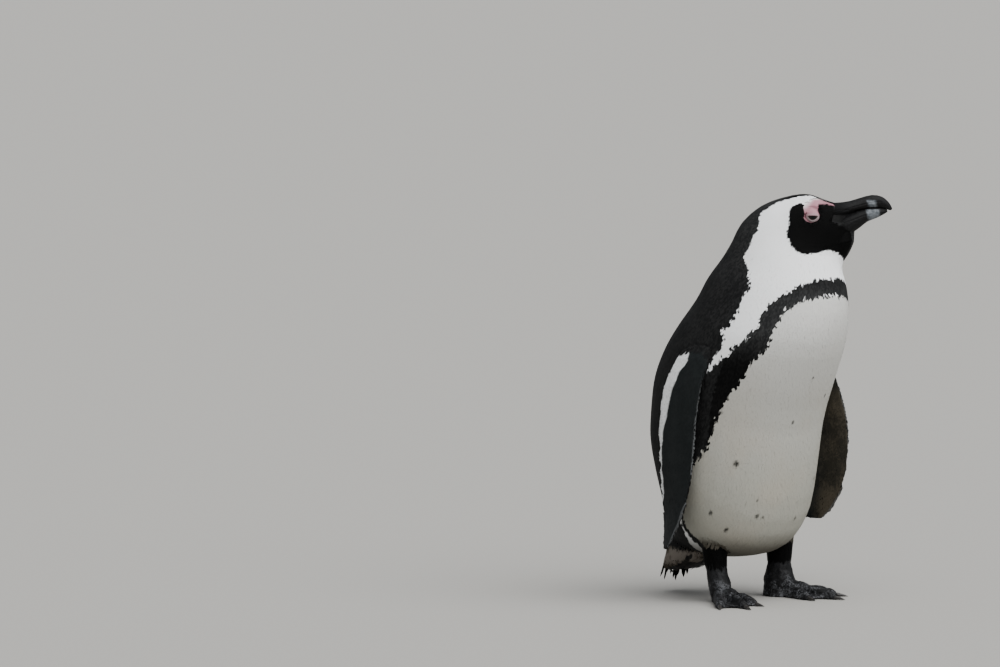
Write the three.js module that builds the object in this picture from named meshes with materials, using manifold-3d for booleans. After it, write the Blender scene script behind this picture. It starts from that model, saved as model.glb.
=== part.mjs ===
// African penguin (Spheniscus demersus), adult, standing with its head turned to its left.
// Millimetres, +Z up. The trunk faces -Y, so the bird's left is +X, and the soles stand at Z = 0.
import * as THREE from "three";
import { mergeVertices } from "three/addons/utils/BufferGeometryUtils.js";
import Module from "manifold-3d";

const wasm = await Module();
wasm.setup();

// Driving dimensions.
const HEAD_TURN = 45; // degrees that the head looks to the bird's left of its breast
const JOINT_GAP = 0.3; // thin cut that parts two neighbouring pieces
const BODY_SIDES = 30; // facets round the trunk, neck and head
const EYE_RADIUS = 7.4;
const EYE_FORWARD = 36.5; // eye centre in the head's own frame
const EYE_HEIGHT = 405.8;
const EYE_SPREAD = 18.4; // half the distance between the two eye centres
const LEFT_LEG = [46, -34]; // tarsus left and forward of the neck's axis
const RIGHT_LEG = [-44, -40];
const ANKLE_HEIGHT = 22;
const LEG_TOP = 74; // the feathered thigh ends inside the belly
const SOLE_LIFT = 0.8; // the webs hang this far above the floor between the toes
const LEFT_FOOT_SPLAY = 12; // degrees outwards
const RIGHT_FOOT_SPLAY = 22;

// The body is a row of ribs from the rump to the bill's base. Each rib runs from a point on the back line
// to a point on the front line, as [forward, up] of the neck's upright axis, with half its width, the
// degrees that it turns with the head, its squareness (2 is an ellipse) and how far its widest part lies
// towards the back.
const BODY_RIBS = [
  { name: "tail root", back: [-129, 72], front: [-100, 48], half: 31, turn: 0, square: 2.1, egg: 0 },
  { name: "rump", back: [-129, 101], front: [-76, 44], half: 48, turn: 0, square: 2.2, egg: 0 },
  { name: "vent", back: [-132, 131], front: [-42, 45], half: 65, turn: 0, square: 2.25, egg: 0 },
  { name: "groin", back: [-138, 160], front: [-9, 54], half: 77, turn: 0, square: 2.3, egg: 0 },
  { name: "lower belly", back: [-141.5, 188], front: [14, 85], half: 85, turn: 0, square: 2.3, egg: 0.02 },
  { name: "belly", back: [-140, 214], front: [26, 135], half: 87, turn: 0, square: 2.25, egg: 0.03 },
  { name: "waist", back: [-135, 240], front: [35, 188], half: 88, turn: 0, square: 2.25, egg: 0.04 },
  { name: "breast", back: [-121.5, 268], front: [56, 236], half: 86.5, turn: 2, square: 2.2, egg: 0.05 },
  { name: "shoulders", back: [-103, 294], front: [72.5, 273], half: 79.5, turn: 8, square: 2.2, egg: 0.05 },
  { name: "chest", back: [-85.5, 318], front: [78, 306], half: 67, turn: 18, square: 2.1, egg: 0.03 },
  { name: "neck base", back: [-72.5, 341], front: [75, 332], half: 56, turn: 28, square: 2.05, egg: 0 },
  { name: "neck", back: [-58, 360], front: [69.5, 349], half: 47, turn: 36, square: 2, egg: 0 },
  { name: "nape", back: [-48, 376], front: [69, 356], half: 41.5, turn: 42, square: 2, egg: 0.02 },
  { name: "occiput", back: [-37, 398], front: [73, 361], half: 34, turn: 45, square: 2, egg: 0.08 },
  { name: "hind crown", back: [-16, 416.5], front: [77, 366.5], half: 28.5, turn: 45, square: 2, egg: 0.14 },
  { name: "crown", back: [9, 426], front: [80, 373], half: 24, turn: 45, square: 2.05, egg: 0.16 },
  { name: "brow", back: [32, 429.3], front: [82, 380], half: 18, turn: 45, square: 2.1, egg: 0.14 },
  { name: "forehead", back: [49, 423.5], front: [84.5, 387], half: 14.6, turn: 45, square: 2.1, egg: 0.1 },
  { name: "bill base", back: [62, 419.5], front: [88, 393], half: 12.6, turn: 45, square: 2.1, egg: 0.04 },
];

// Short stiff tail, ribbed in the same way from inside the rump to the feather tips.
const TAIL_RIBS = [
  { name: "root", back: [-124, 90], front: [-84, 54], half: 31, turn: 0, square: 2.1, egg: 0 },
  { name: "coverts", back: [-137, 66], front: [-93, 38], half: 31, turn: 0, square: 2.2, egg: 0 },
  { name: "mid", back: [-142.5, 45], front: [-108, 27], half: 29, turn: 0, square: 2.3, egg: 0 },
  { name: "ends", back: [-145.5, 29], front: [-126, 20], half: 25, turn: 0, square: 2.4, egg: 0 },
  { name: "tips", back: [-147, 19], front: [-140, 17], half: 20, turn: 0, square: 2.4, egg: 0 },
];

// The two horny halves of the bill, from inside the face to the hooked tip.
const UPPER_BILL_RIBS = [
  { name: "inside", back: [56, 420], front: [54, 399], half: 11.6, turn: 45, square: 2.1, egg: -0.1 },
  { name: "culmen feathers", back: [63, 419.8], front: [64, 403.6], half: 11.4, turn: 45, square: 2.1, egg: -0.1 },
  { name: "nostril", back: [76, 421.4], front: [78, 409.3], half: 9.6, turn: 45, square: 2, egg: -0.14 },
  { name: "latericorn", back: [88, 425], front: [90, 412.7], half: 7.7, turn: 45, square: 2, egg: -0.14 },
  { name: "grey bar", back: [100, 427.9], front: [102, 414.4], half: 6.5, turn: 45, square: 2, egg: -0.1 },
  { name: "nail", back: [110, 426.2], front: [110, 414], half: 5.6, turn: 45, square: 2, egg: 0 },
  { name: "hook", back: [116.4, 421.4], front: [115.4, 412.6], half: 4.2, turn: 45, square: 2, egg: 0 },
  { name: "hook end", back: [119.6, 417], front: [118, 411.6], half: 2.5, turn: 45, square: 2, egg: 0 },
  { name: "point", back: [121.2, 413.6], front: [120.2, 411.8], half: 0.9, turn: 45, square: 2, egg: 0 },
];
const LOWER_BILL_RIBS = [
  { name: "inside", back: [53, 398.5], front: [67, 385], half: 11.4, turn: 45, square: 2.1, egg: 0.1 },
  { name: "gape", back: [64, 403.2], front: [80, 388.6], half: 10.8, turn: 45, square: 2.1, egg: 0.1 },
  { name: "chin feathers", back: [78, 408.9], front: [88, 394], half: 9.2, turn: 45, square: 2, egg: 0.14 },
  { name: "ramus", back: [90, 412.3], front: [95, 399.6], half: 7.4, turn: 45, square: 2, egg: 0.14 },
  { name: "gonys", back: [102, 414], front: [104, 403.2], half: 6, turn: 45, square: 2, egg: 0.1 },
  { name: "end", back: [110, 413.6], front: [111.5, 407], half: 4.4, turn: 45, square: 2, egg: 0 },
  { name: "point", back: [115.6, 412.1], front: [116.4, 410], half: 1.7, turn: 45, square: 2, egg: 0 },
];

// Flippers, from the shoulder to the tip: centre of the blade as [left, forward, up], the chord's heading in
// degrees (0 is straight forward, positive towards the bird's left), chord and thickness.
const RIGHT_WING = [
  { at: [-70, -28, 285], heading: 2, chord: 34, thick: 18 },
  { at: [-86, -36, 262], heading: 5, chord: 41, thick: 16 },
  { at: [-93.5, -44, 236], heading: 7, chord: 48, thick: 12.5 },
  { at: [-95.5, -50, 206], heading: 7, chord: 51, thick: 9.5 },
  { at: [-95, -52.5, 176], heading: 4, chord: 51, thick: 8.4 },
  { at: [-93.5, -55, 147], heading: 0, chord: 50, thick: 7.4 },
  { at: [-92, -58, 119], heading: -8, chord: 47.5, thick: 6.4 },
  { at: [-91, -62, 95], heading: -17, chord: 43.5, thick: 5.4 },
  { at: [-90, -68, 75], heading: -26, chord: 36, thick: 4.6 },
  { at: [-89.5, -73, 61.5], heading: -30, chord: 25, thick: 3.6 },
  { at: [-89.5, -75, 56], heading: -31, chord: 15, thick: 2.6 },
];
const LEFT_WING = [
  { at: [70, -28, 285], heading: -2, chord: 34, thick: 18 },
  { at: [86, -36, 264], heading: 4, chord: 41, thick: 16 },
  { at: [97.5, -34.5, 238], heading: 14, chord: 48, thick: 12.5 },
  { at: [107.5, -32.5, 208], heading: 22, chord: 51, thick: 9.5 },
  { at: [116, -32.5, 178], heading: 26, chord: 51, thick: 8.4 },
  { at: [122, -37, 150], heading: 28, chord: 50, thick: 7.4 },
  { at: [126.5, -43, 123], heading: 28, chord: 47.5, thick: 6.4 },
  { at: [129, -50, 101], heading: 26, chord: 43.5, thick: 5.4 },
  { at: [129.5, -56, 86], heading: 24, chord: 36, thick: 4.6 },
  { at: [129.5, -60.5, 77], heading: 22, chord: 25, thick: 3.6 },
  { at: [129.5, -62, 73.5], heading: 22, chord: 15, thick: 2.6 },
];

// Toes: heading from the foot's own forward line (positive outwards), reach of the fleshy toe, half width
// and height at the base and at the end.
const TOES = [
  { name: "inner", heading: -24, reach: 56, claw: 13 },
  { name: "middle", heading: 0, reach: 71, claw: 14 },
  { name: "outer", heading: 24, reach: 65, claw: 13 },
];
const TOE_BASE = { half: 7.4, height: 20.5 };
const TOE_END = { half: 4.6, height: 7.4 };
const CLAW_HALF = 2.7;
const CLAW_HEIGHT = 4.6;
const HALLUX = { heading: -62, start: 7, reach: 17, height: 13, half: 2.6 };

// Shanks from the sole to the thigh, evenly spaced: half width, half length and how far each lies forward
// and to the left of the tarsus. The left ankle is swollen, and the right leg leans back and outwards.
const SHANKS = {
  left: [
    [16, 17.5, -2, 0], [15.6, 17.5, -1.5, 0], [12, 12.6, -1.5, 0], [13.5, 14.5, -1.5, 0], [19, 21, -3, 0],
  ],
  right: [
    [11.2, 12.8, 4, 3], [12.2, 13.8, 1, 1], [11.2, 12.4, -4, -1], [12.8, 14, -7, -2], [19, 21, -7, -2],
  ],
};

const radians = THREE.MathUtils.degToRad;

// A closed three.js geometry as a solid, turned right way out.
function solidFrom(geometry) {
  const bare = geometry.clone();
  bare.deleteAttribute("normal");
  bare.deleteAttribute("uv");
  const merged = mergeVertices(bare, 1e-4);
  const build = (triangles) =>
    new wasm.Manifold(
      new wasm.Mesh({
        numProp: 3,
        vertProperties: new Float32Array(merged.attributes.position.array),
        triVerts: triangles,
      }),
    );
  const triangles = new Uint32Array(merged.index.array);
  const made = build(triangles);
  return made.volume() > 0 ? made : build(triangles.slice().reverse());
}

// A solid as a named mesh with its own material.
function meshOf(name, solid, finish) {
  const { vertProperties, triVerts } = solid.getMesh();
  const geometry = new THREE.BufferGeometry();
  geometry.setAttribute("position", new THREE.BufferAttribute(vertProperties, 3));
  geometry.setIndex(new THREE.BufferAttribute(triVerts, 1));
  geometry.computeVertexNormals();
  const made = new THREE.Mesh(geometry, new THREE.MeshStandardMaterial(finish));
  made.name = name;
  return made;
}

// A point given as left, forward and up in a frame turned by some degrees to the bird's left.
function place(left, forward, up, turn) {
  const angle = radians(turn);
  return new THREE.Vector3(
    left * Math.cos(angle) + forward * Math.sin(angle),
    left * Math.sin(angle) - forward * Math.cos(angle),
    up,
  );
}

// Moves every vertex of a unit cylinder to where a rule puts it. The rule gets the share of the cylinder's
// length, the angle round it and the share of its radius.
function bentCylinder(sides, rows, rule) {
  const geometry = new THREE.CylinderGeometry(1, 1, 1, sides, rows);
  const position = geometry.attributes.position;
  for (let i = 0; i < position.count; i += 1) {
    const [x, y, z] = [position.getX(i), position.getY(i), position.getZ(i)];
    const point = rule(y + 0.5, Math.atan2(x, z), Math.hypot(x, z));
    position.setXYZ(i, point.x, point.y, point.z);
  }
  return solidFrom(geometry);
}

const signedPower = (value, power) => Math.sign(value) * Math.abs(value) ** power;

// Smooth lines through a table of ribs.
function linesOf(ribs) {
  const curve = (pick) => new THREE.CatmullRomCurve3(ribs.map(pick), false, "centripetal");
  return {
    count: ribs.length,
    back: curve((rib) => new THREE.Vector3(rib.back[0], rib.back[1], 0)),
    front: curve((rib) => new THREE.Vector3(rib.front[0], rib.front[1], 0)),
    girth: curve((rib) => new THREE.Vector3(rib.half, rib.turn, rib.square * 10)),
    egg: curve((rib) => new THREE.Vector3(rib.egg * 10, 0, 0)),
  };
}

// The surface point of a ribbed shape at a share of its length and an angle, 0 being its front line.
function ribPoint(lines, share, angle, radius, swell) {
  const back = lines.back.getPoint(share);
  const front = lines.front.getPoint(share);
  const { x: half, y: turn, z: square } = lines.girth.getPoint(share);
  const egg = lines.egg.getPoint(share).x / 10;
  const power = 20 / square;
  const along = signedPower(Math.cos(angle), power);
  const across = signedPower(Math.sin(angle), power) * (1 - egg * along);
  const middle = back.clone().add(front).multiplyScalar(0.5);
  const reach = front.clone().sub(back).multiplyScalar(0.5);
  const grown = (reach.length() + swell) / reach.length();
  const depth = along * radius * grown;
  return place(
    across * radius * (half + swell),
    middle.x + reach.x * depth,
    middle.y + reach.y * depth,
    turn,
  );
}

function ribbedSolid(ribs, sides, rows, swell = 0) {
  const lines = linesOf(ribs);
  return bentCylinder(sides, rows, (share, angle, radius) => ribPoint(lines, share, angle, radius, swell));
}

// A block that holds everything on one side of the body's rib at a share of its length.
function blockPast(share, offset, ahead) {
  const lines = linesOf(BODY_RIBS);
  const turn = lines.girth.getPoint(share).y;
  const back = lines.back.getPoint(share);
  const front = lines.front.getPoint(share);
  const rib = front.clone().sub(back).normalize();
  const side = place(1, 0, 0, turn);
  const down = place(0, rib.x, rib.y, turn);
  const normal = place(0, -rib.y, rib.x, turn);
  const size = 700;
  const box = new THREE.BoxGeometry(size, size, size);
  const middle = back.clone().add(front).multiplyScalar(0.5);
  const reach = (ahead ? 1 : -1) * (size / 2 + offset);
  const centre = place(0, middle.x, middle.y, turn).addScaledVector(normal, reach);
  box.applyMatrix4(new THREE.Matrix4().makeBasis(side, down, normal).setPosition(centre));
  return solidFrom(box);
}

// A box as a solid, by its two corners.
function blockBetween(low, high) {
  const size = high.map((value, i) => value - low[i]);
  const box = new THREE.BoxGeometry(...size);
  box.translate(...low.map((value, i) => value + size[i] / 2));
  return solidFrom(box);
}

// Trunk, neck, head and tail.
const atRib = (name) => BODY_RIBS.findIndex((rib) => rib.name === name) / (BODY_RIBS.length - 1);
const neckCut = atRib("chest") + 0.01;
const headCut = atRib("nape") + 0.01;
const wholeBody = ribbedSolid(BODY_RIBS, BODY_SIDES, 40);
const grownBody = ribbedSolid(BODY_RIBS, BODY_SIDES, 40, JOINT_GAP + 0.1);
const half = JOINT_GAP / 2;
const trunk = wholeBody.subtract(blockPast(neckCut, -half, true));
const neck = wholeBody
  .subtract(blockPast(neckCut, -half, false))
  .subtract(blockPast(headCut, -half, true));
const tail = ribbedSolid(TAIL_RIBS, 20, 10).subtract(grownBody);

// Eyes, a ball in each side of the head.
function eyeBall(side, radius) {
  const ball = new THREE.SphereGeometry(radius, 14, 10);
  const centre = place(side * EYE_SPREAD, EYE_FORWARD, EYE_HEIGHT, HEAD_TURN);
  ball.translate(centre.x, centre.y, centre.z);
  return solidFrom(ball);
}

const billUpper = ribbedSolid(UPPER_BILL_RIBS, 16, 16);
const billLower = ribbedSolid(LOWER_BILL_RIBS, 16, 12);
const head = wholeBody
  .subtract(blockPast(headCut, -half, false))
  .subtract(ribbedSolid(UPPER_BILL_RIBS, 16, 16, JOINT_GAP))
  .subtract(ribbedSolid(LOWER_BILL_RIBS, 16, 12, JOINT_GAP))
  .subtract(eyeBall(1, EYE_RADIUS + JOINT_GAP))
  .subtract(eyeBall(-1, EYE_RADIUS + JOINT_GAP));

// A flipper: a flat blade with a full leading edge and a thin trailing one.
function wing(stations) {
  const centres = new THREE.CatmullRomCurve3(
    stations.map(({ at }) => new THREE.Vector3(...at)),
    false,
    "centripetal",
  );
  const sizes = new THREE.CatmullRomCurve3(
    stations.map(({ heading, chord, thick }) => new THREE.Vector3(heading, chord, thick)),
    false,
    "centripetal",
  );
  return bentCylinder(12, 18, (share, angle, radius) => {
    const centre = centres.getPoint(share);
    const { x: heading, y: chord, z: thick } = sizes.getPoint(share);
    const along = Math.cos(angle) * radius;
    const fullness = 0.72 + 0.28 * along;
    const across = Math.sin(angle) * radius * fullness * (thick / 2);
    const blade = place(across, along * (chord / 2), 0, heading);
    return place(centre.x, centre.y, centre.z, 0).add(blade);
  }).subtract(grownBody);
}

// One foot and its leg in the leg's own frame: forward of the tarsus, left of it, and up.
function footParts(side, splay, [left, forward], shankRibs) {
  const turn = side * splay;
  const root = place(left, forward, 0, 0);
  const local = (left, forward, up) => place(left, forward, up, turn).add(root);

  // Short thick tarsus that widens into the ankle and into the feathered thigh.
  const curveOf = (first) =>
    new THREE.CatmullRomCurve3(shankRibs.map((rib) => new THREE.Vector3(rib[first], rib[first + 1], 0)));
  const widths = curveOf(0);
  const offsets = curveOf(2);
  const shank = bentCylinder(12, 8, (share, angle, radius) => {
    const { x: across, y: along } = widths.getPoint(share);
    const { x: swing, y: aside } = offsets.getPoint(share);
    return local(
      Math.sin(angle) * radius * across + aside,
      Math.cos(angle) * radius * along + swing,
      share * LEG_TOP,
    );
  });

  const toeTurn = (toe) => side * toe.heading;
  const outward = (toe, reach, across, up) => {
    const angle = radians(toeTurn(toe));
    return local(
      reach * Math.sin(angle) + across * Math.cos(angle),
      reach * Math.cos(angle) - across * Math.sin(angle),
      up,
    );
  };
  const knuckle = (share) => 1 + 0.1 * Math.cos(share * Math.PI * 6);
  const toes = TOES.map((toe) =>
    bentCylinder(8, 8, (share, angle, radius) => {
      const end = Math.sqrt(Math.max(0.02, 1 - Math.max(0, (share - 0.9) / 0.1) ** 2));
      const width = THREE.MathUtils.lerp(TOE_BASE.half, TOE_END.half, share) * knuckle(share) * end;
      const height = THREE.MathUtils.lerp(TOE_BASE.height, TOE_END.height, share) * knuckle(share) * end;
      const up = (Math.cos(angle) * radius * 0.62 + 0.38) * height;
      return outward(toe, share * toe.reach, Math.sin(angle) * radius * width, Math.max(0, up));
    }),
  );

  // Web between the toes, with a scalloped front edge.
  const web = new THREE.Shape();
  const corner = (toe, share) => {
    const angle = radians(toeTurn(toe));
    return new THREE.Vector2(toe.reach * share * Math.sin(angle), toe.reach * share * Math.cos(angle));
  };
  const [inner, middle, outer] = TOES;
  const dip = (a, b) => corner(a, 0.8).add(corner(b, 0.8)).multiplyScalar(0.46);
  web.moveTo(0, 0);
  web.lineTo(...corner(inner, 0.93).toArray());
  web.quadraticCurveTo(...dip(inner, middle).toArray(), ...corner(middle, 0.9).toArray());
  web.quadraticCurveTo(...dip(middle, outer).toArray(), ...corner(outer, 0.93).toArray());
  web.lineTo(0, 0);
  const sheet = new THREE.ExtrudeGeometry(web, { depth: 3, bevelEnabled: false, curveSegments: 4 });
  const position = sheet.attributes.position;
  for (let i = 0; i < position.count; i += 1) {
    const point = local(position.getX(i), position.getY(i), position.getZ(i) + SOLE_LIFT);
    position.setXYZ(i, point.x, point.y, point.z);
  }

  // Each claw is a curved horn that starts inside the toe's end.
  const clawSolid = (toe, swell) =>
    bentCylinder(8, 4, (share, angle, radius) => {
      const slim = (1 - share) ** 0.75 * (1 - 0.04) + 0.04;
      const reach = toe.reach - 5 + share * (toe.claw + swell);
      const across = Math.sin(angle) * radius * (CLAW_HALF * slim + swell);
      const tall = CLAW_HEIGHT * 0.5 * slim;
      const up = 0.35 + tall + Math.cos(angle) * radius * (tall + swell);
      return outward(toe, reach, across, up);
    });

  const hallux = bentCylinder(8, 5, (share, angle, radius) => {
    const slim = 1 - 0.75 * share;
    const reach = HALLUX.start + share * (HALLUX.reach - HALLUX.start);
    const rise = HALLUX.height - share * 7 + Math.cos(angle) * radius * HALLUX.half * slim;
    return outward(HALLUX, reach, Math.sin(angle) * radius * HALLUX.half * slim, rise);
  });

  const claws = TOES.map((toe) => clawSolid(toe, 0));
  const far = 400;
  const below = blockBetween([-far, -far, -far], [far, far, ANKLE_HEIGHT]);
  const above = blockBetween([-far, -far, ANKLE_HEIGHT + JOINT_GAP], [far, far, far]);
  const floor = blockBetween([-far, -far, -far], [far, far, 0]);
  let foot = shank.intersect(below).add(solidFrom(sheet)).add(hallux);
  toes.forEach((toe) => {
    foot = foot.add(toe);
  });
  TOES.forEach((toe) => {
    foot = foot.subtract(clawSolid(toe, JOINT_GAP));
  });
  return {
    leg: shank.intersect(above).subtract(grownBody),
    foot: foot.intersect(below).subtract(floor),
    claws: claws.map((claw) => claw.subtract(floor)),
  };
}

// Finishes.
const PLUMAGE = { color: 0xd9dad6, roughness: 0.85, metalness: 0 };
const BLACK_PLUMAGE = { color: 0x161617, roughness: 0.8, metalness: 0 };
const FACE = { color: 0x0e0e0f, roughness: 0.8, metalness: 0 };
const HORN = { color: 0x1b1c1f, roughness: 0.4, metalness: 0 };
const EYE = { color: 0x1a0f0a, roughness: 0.1, metalness: 0 };
const FOOT_SKIN = { color: 0x1f2022, roughness: 0.6, metalness: 0 };
const CLAW = { color: 0x151515, roughness: 0.45, metalness: 0 };

const penguin = new THREE.Group();
penguin.add(
  meshOf("trunk", trunk, PLUMAGE),
  meshOf("neck", neck, PLUMAGE),
  meshOf("head", head, FACE),
  meshOf("tail", tail, BLACK_PLUMAGE),
  meshOf("wing_right", wing(RIGHT_WING), BLACK_PLUMAGE),
  meshOf("wing_left", wing(LEFT_WING), BLACK_PLUMAGE),
  meshOf("bill_upper", billUpper, HORN),
  meshOf("bill_lower", billLower, HORN),
  meshOf("eye_left", eyeBall(1, EYE_RADIUS), EYE),
  meshOf("eye_right", eyeBall(-1, EYE_RADIUS), EYE),
);
for (const [label, side, splay, at] of [
  ["left", 1, LEFT_FOOT_SPLAY, LEFT_LEG],
  ["right", -1, RIGHT_FOOT_SPLAY, RIGHT_LEG],
]) {
  const { leg, foot, claws } = footParts(side, splay, at, SHANKS[label]);
  penguin.add(meshOf(`leg_${label}`, leg, BLACK_PLUMAGE), meshOf(`foot_${label}`, foot, FOOT_SKIN));
  claws.forEach((claw, i) => {
    penguin.add(meshOf(`claw_${label}_${TOES[i].name}`, claw, CLAW));
  });
}

// The part's origin is the middle of its footprint, on the floor.
const bounds = new THREE.Box3().setFromObject(penguin);
const middle = bounds.getCenter(new THREE.Vector3());
penguin.position.set(-middle.x, -middle.y, -bounds.min.z);

export default penguin;
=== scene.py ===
"""African penguin standing with its head turned: feathers, skin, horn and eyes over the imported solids."""
from math import cos, radians, sin

import bpy
import numpy as np
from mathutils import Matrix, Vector, noise
from mathutils.bvhtree import BVHTree
from mathutils.kdtree import KDTree


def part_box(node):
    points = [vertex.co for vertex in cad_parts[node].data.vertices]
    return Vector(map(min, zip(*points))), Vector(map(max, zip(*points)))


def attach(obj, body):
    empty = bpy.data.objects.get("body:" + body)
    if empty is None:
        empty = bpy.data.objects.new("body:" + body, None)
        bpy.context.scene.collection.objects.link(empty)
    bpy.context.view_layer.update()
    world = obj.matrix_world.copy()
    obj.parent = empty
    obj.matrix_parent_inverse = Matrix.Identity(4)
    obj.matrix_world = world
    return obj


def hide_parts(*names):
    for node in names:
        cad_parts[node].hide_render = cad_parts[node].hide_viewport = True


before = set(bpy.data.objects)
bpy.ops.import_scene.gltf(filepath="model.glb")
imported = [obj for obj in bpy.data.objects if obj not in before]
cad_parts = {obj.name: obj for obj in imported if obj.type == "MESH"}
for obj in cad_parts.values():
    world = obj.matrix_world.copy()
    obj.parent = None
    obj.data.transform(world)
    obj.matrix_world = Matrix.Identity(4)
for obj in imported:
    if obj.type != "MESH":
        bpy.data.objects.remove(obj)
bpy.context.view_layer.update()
bpy.ops.object.select_all(action="DESELECT")

# ---- Eyes
# Two wet eyeballs in sockets on the sides of the head. The iris of an adult is dark brown, here painted
# nearly black as painted shade of the lids, round a black pupil, and the clear front of the eye bulges a
# little from the ball.
EYE_RADIUS = 7.4
IRIS_RADIUS = 5.0
PUPIL_RADIUS = 2.3
CORNEA_BULGE = 0.00045
EYE_FORWARD = 36.5
HEAD_TURN = radians(45)
gaze = Vector((sin(HEAD_TURN), -cos(HEAD_TURN), 0))


def middle(node):
    """Centre of a solid's box."""
    low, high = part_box(node)
    return (low + high) / 2


eye_middle = (middle("eye_left") + middle("eye_right")) / 2
pivot = eye_middle - gaze * EYE_FORWARD / 1000
pivot.z = 0


class Shade:
    """A socket among a material's nodes. Arithmetic on it adds Math nodes."""

    def __init__(self, tree, socket=None):
        self.tree, self.socket = tree, socket

    def node(self, kind, settings=None, sockets=None, out=0):
        made = self.tree.nodes.new(kind)
        for name, value in (settings or {}).items():
            setattr(made, name, value)
        for name, value in (sockets or {}).items():
            if isinstance(value, Shade):
                self.tree.links.new(value.socket, made.inputs[name])
            else:
                made.inputs[name].default_value = value
        return Shade(self.tree, made.outputs[out] if made.outputs else None)

    def math(self, operation, *values):
        return self.node("ShaderNodeMath", {"operation": operation}, dict(enumerate(values)))

    def vector_math(self, operation, *values, out=0):
        kept = {"operation": operation}
        return self.node("ShaderNodeVectorMath", kept, dict(enumerate(values)), out)

    def step(self, low, high):
        """0 at low, 1 at high, with a smooth rise between them."""
        span = {"Value": self, "From Min": low, "From Max": high}
        return self.node("ShaderNodeMapRange", {"interpolation_type": "SMOOTHSTEP"}, span)

    def mix(self, start, end):
        """The colour start where this is 0 and end where it is 1."""
        return self.node("ShaderNodeMix", {"data_type": "RGBA"}, {0: self, 6: start, 7: end}, 2)

    def attribute(self, name):
        return self.node("ShaderNodeAttribute", {"attribute_name": name}, out=2)

    def height(self, place):
        """Metres of a place above the floor."""
        return self.node("ShaderNodeSeparateXYZ", None, {"Vector": place}, 2)

    def noise(self, place, scale, detail=2.0):
        sockets = {"Vector": place, "Scale": scale, "Detail": detail}
        return self.node("ShaderNodeTexNoise", None, sockets)

    def bump(self, height, distance, strength=1.0):
        sockets = {"Height": height, "Distance": distance, "Strength": strength}
        return self.node("ShaderNodeBump", None, sockets)

    def finish(self, **sockets):
        """Ends the material in one Principled shader."""
        named = {name.replace("_", " "): value for name, value in sockets.items()}
        shader = self.node("ShaderNodeBsdfPrincipled", None, named)
        self.node("ShaderNodeOutputMaterial", None, {"Surface": shader})

    def __add__(self, other):
        return self.math("ADD", self, other)

    def __radd__(self, other):
        return self.math("ADD", other, self)

    def __sub__(self, other):
        return self.math("SUBTRACT", self, other)

    def __rsub__(self, other):
        return self.math("SUBTRACT", other, self)

    def __mul__(self, other):
        return self.math("MULTIPLY", self, other)

    def __rmul__(self, other):
        return self.math("MULTIPLY", other, self)


def new_material(name):
    """An empty material's nodes, and the place of a point on the object."""
    material = bpy.data.materials.new(name)
    material.use_nodes = True
    material.node_tree.nodes.clear()
    tree = Shade(material.node_tree)
    return material, tree, tree.node("ShaderNodeTexCoord", out=3)


def rows_of(items, field):
    """One vector of every item of a mesh, as rows of x, y and z."""
    flat = np.empty(len(items) * 3, np.float32)
    items.foreach_get(field, flat)
    return flat.reshape(-1, 3).astype(float)


def points_of(piece):
    """A mesh's vertices as rows of x, y, z in metres."""
    return rows_of(piece.data.vertices, "co")


def move_points(piece, points):
    piece.data.vertices.foreach_set("co", np.asarray(points, np.float32).ravel())
    piece.data.update()


def settle(piece, body_slot, material, *nodes):
    """Gives a finished piece its material and its place in the model."""
    piece.data.materials.clear()
    piece.data.materials.append(material)
    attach(piece, "root")
    if nodes:
        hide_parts(*nodes)


def eye_material(side, centre, axis):
    material, tree, place = new_material(f"wet_eye_{side}")
    arm = tree.vector_math("SUBTRACT", place, tuple(centre))
    off = tree.vector_math("CROSS_PRODUCT", arm, tuple(axis))
    reach = tree.vector_math("LENGTH", off, out=1)
    streaks = tree.noise(tree.vector_math("NORMALIZE", off), 9.0, 4.0)
    # Dark brown iris colours made nearly black: painted shade of the lids over the eye.
    iris = streaks.mix((0.006, 0.004, 0.003, 1), (0.017, 0.0105, 0.007, 1))
    dark_rim = reach.step(0.82e-3 * IRIS_RADIUS, 1e-3 * IRIS_RADIUS)
    colour = dark_rim.mix(iris, (0.006, 0.0045, 0.004, 1))
    pupil = reach.step(1.06e-3 * PUPIL_RADIUS, 0.96e-3 * PUPIL_RADIUS)
    colour = pupil.mix(colour, (0.0015, 0.0015, 0.0015, 1))
    tree.finish(
        Base_Color=colour,
        Roughness=0.07,
        Specular_IOR_Level=0.15,
        Coat_Weight=0.12,
        Coat_Roughness=0.02,
    )
    return material


for side in ("left", "right"):
    centre = middle(f"eye_{side}")
    outward = (centre - eye_middle).normalized()
    axis = (outward + 0.1 * gaze).normalized()
    bpy.ops.mesh.primitive_uv_sphere_add(
        segments=56,
        ring_count=36,
        radius=EYE_RADIUS / 1000,
        location=centre,
        rotation=axis.to_track_quat("Z", "Y").to_euler(),
    )
    eyeball = bpy.context.object
    eyeball.name = f"eyeball_{side}"
    bpy.ops.object.transform_apply(location=True, rotation=True, scale=True)
    arms = points_of(eyeball) - np.array(centre)
    front = arms @ np.array(axis)
    reach = np.linalg.norm(arms - front[:, None] * np.array(axis), axis=1)
    bulge = np.clip(1 - (reach / (IRIS_RADIUS / 1000)) ** 2, 0, 1) * (front > 0) * CORNEA_BULGE
    move_points(eyeball, arms + np.array(centre) + bulge[:, None] * np.array(axis))
    bpy.ops.object.shade_smooth()
    settle(eyeball, "eye", eye_material(side, centre, axis), f"eye_{side}")
    bpy.ops.object.select_all(action="DESELECT")

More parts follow.
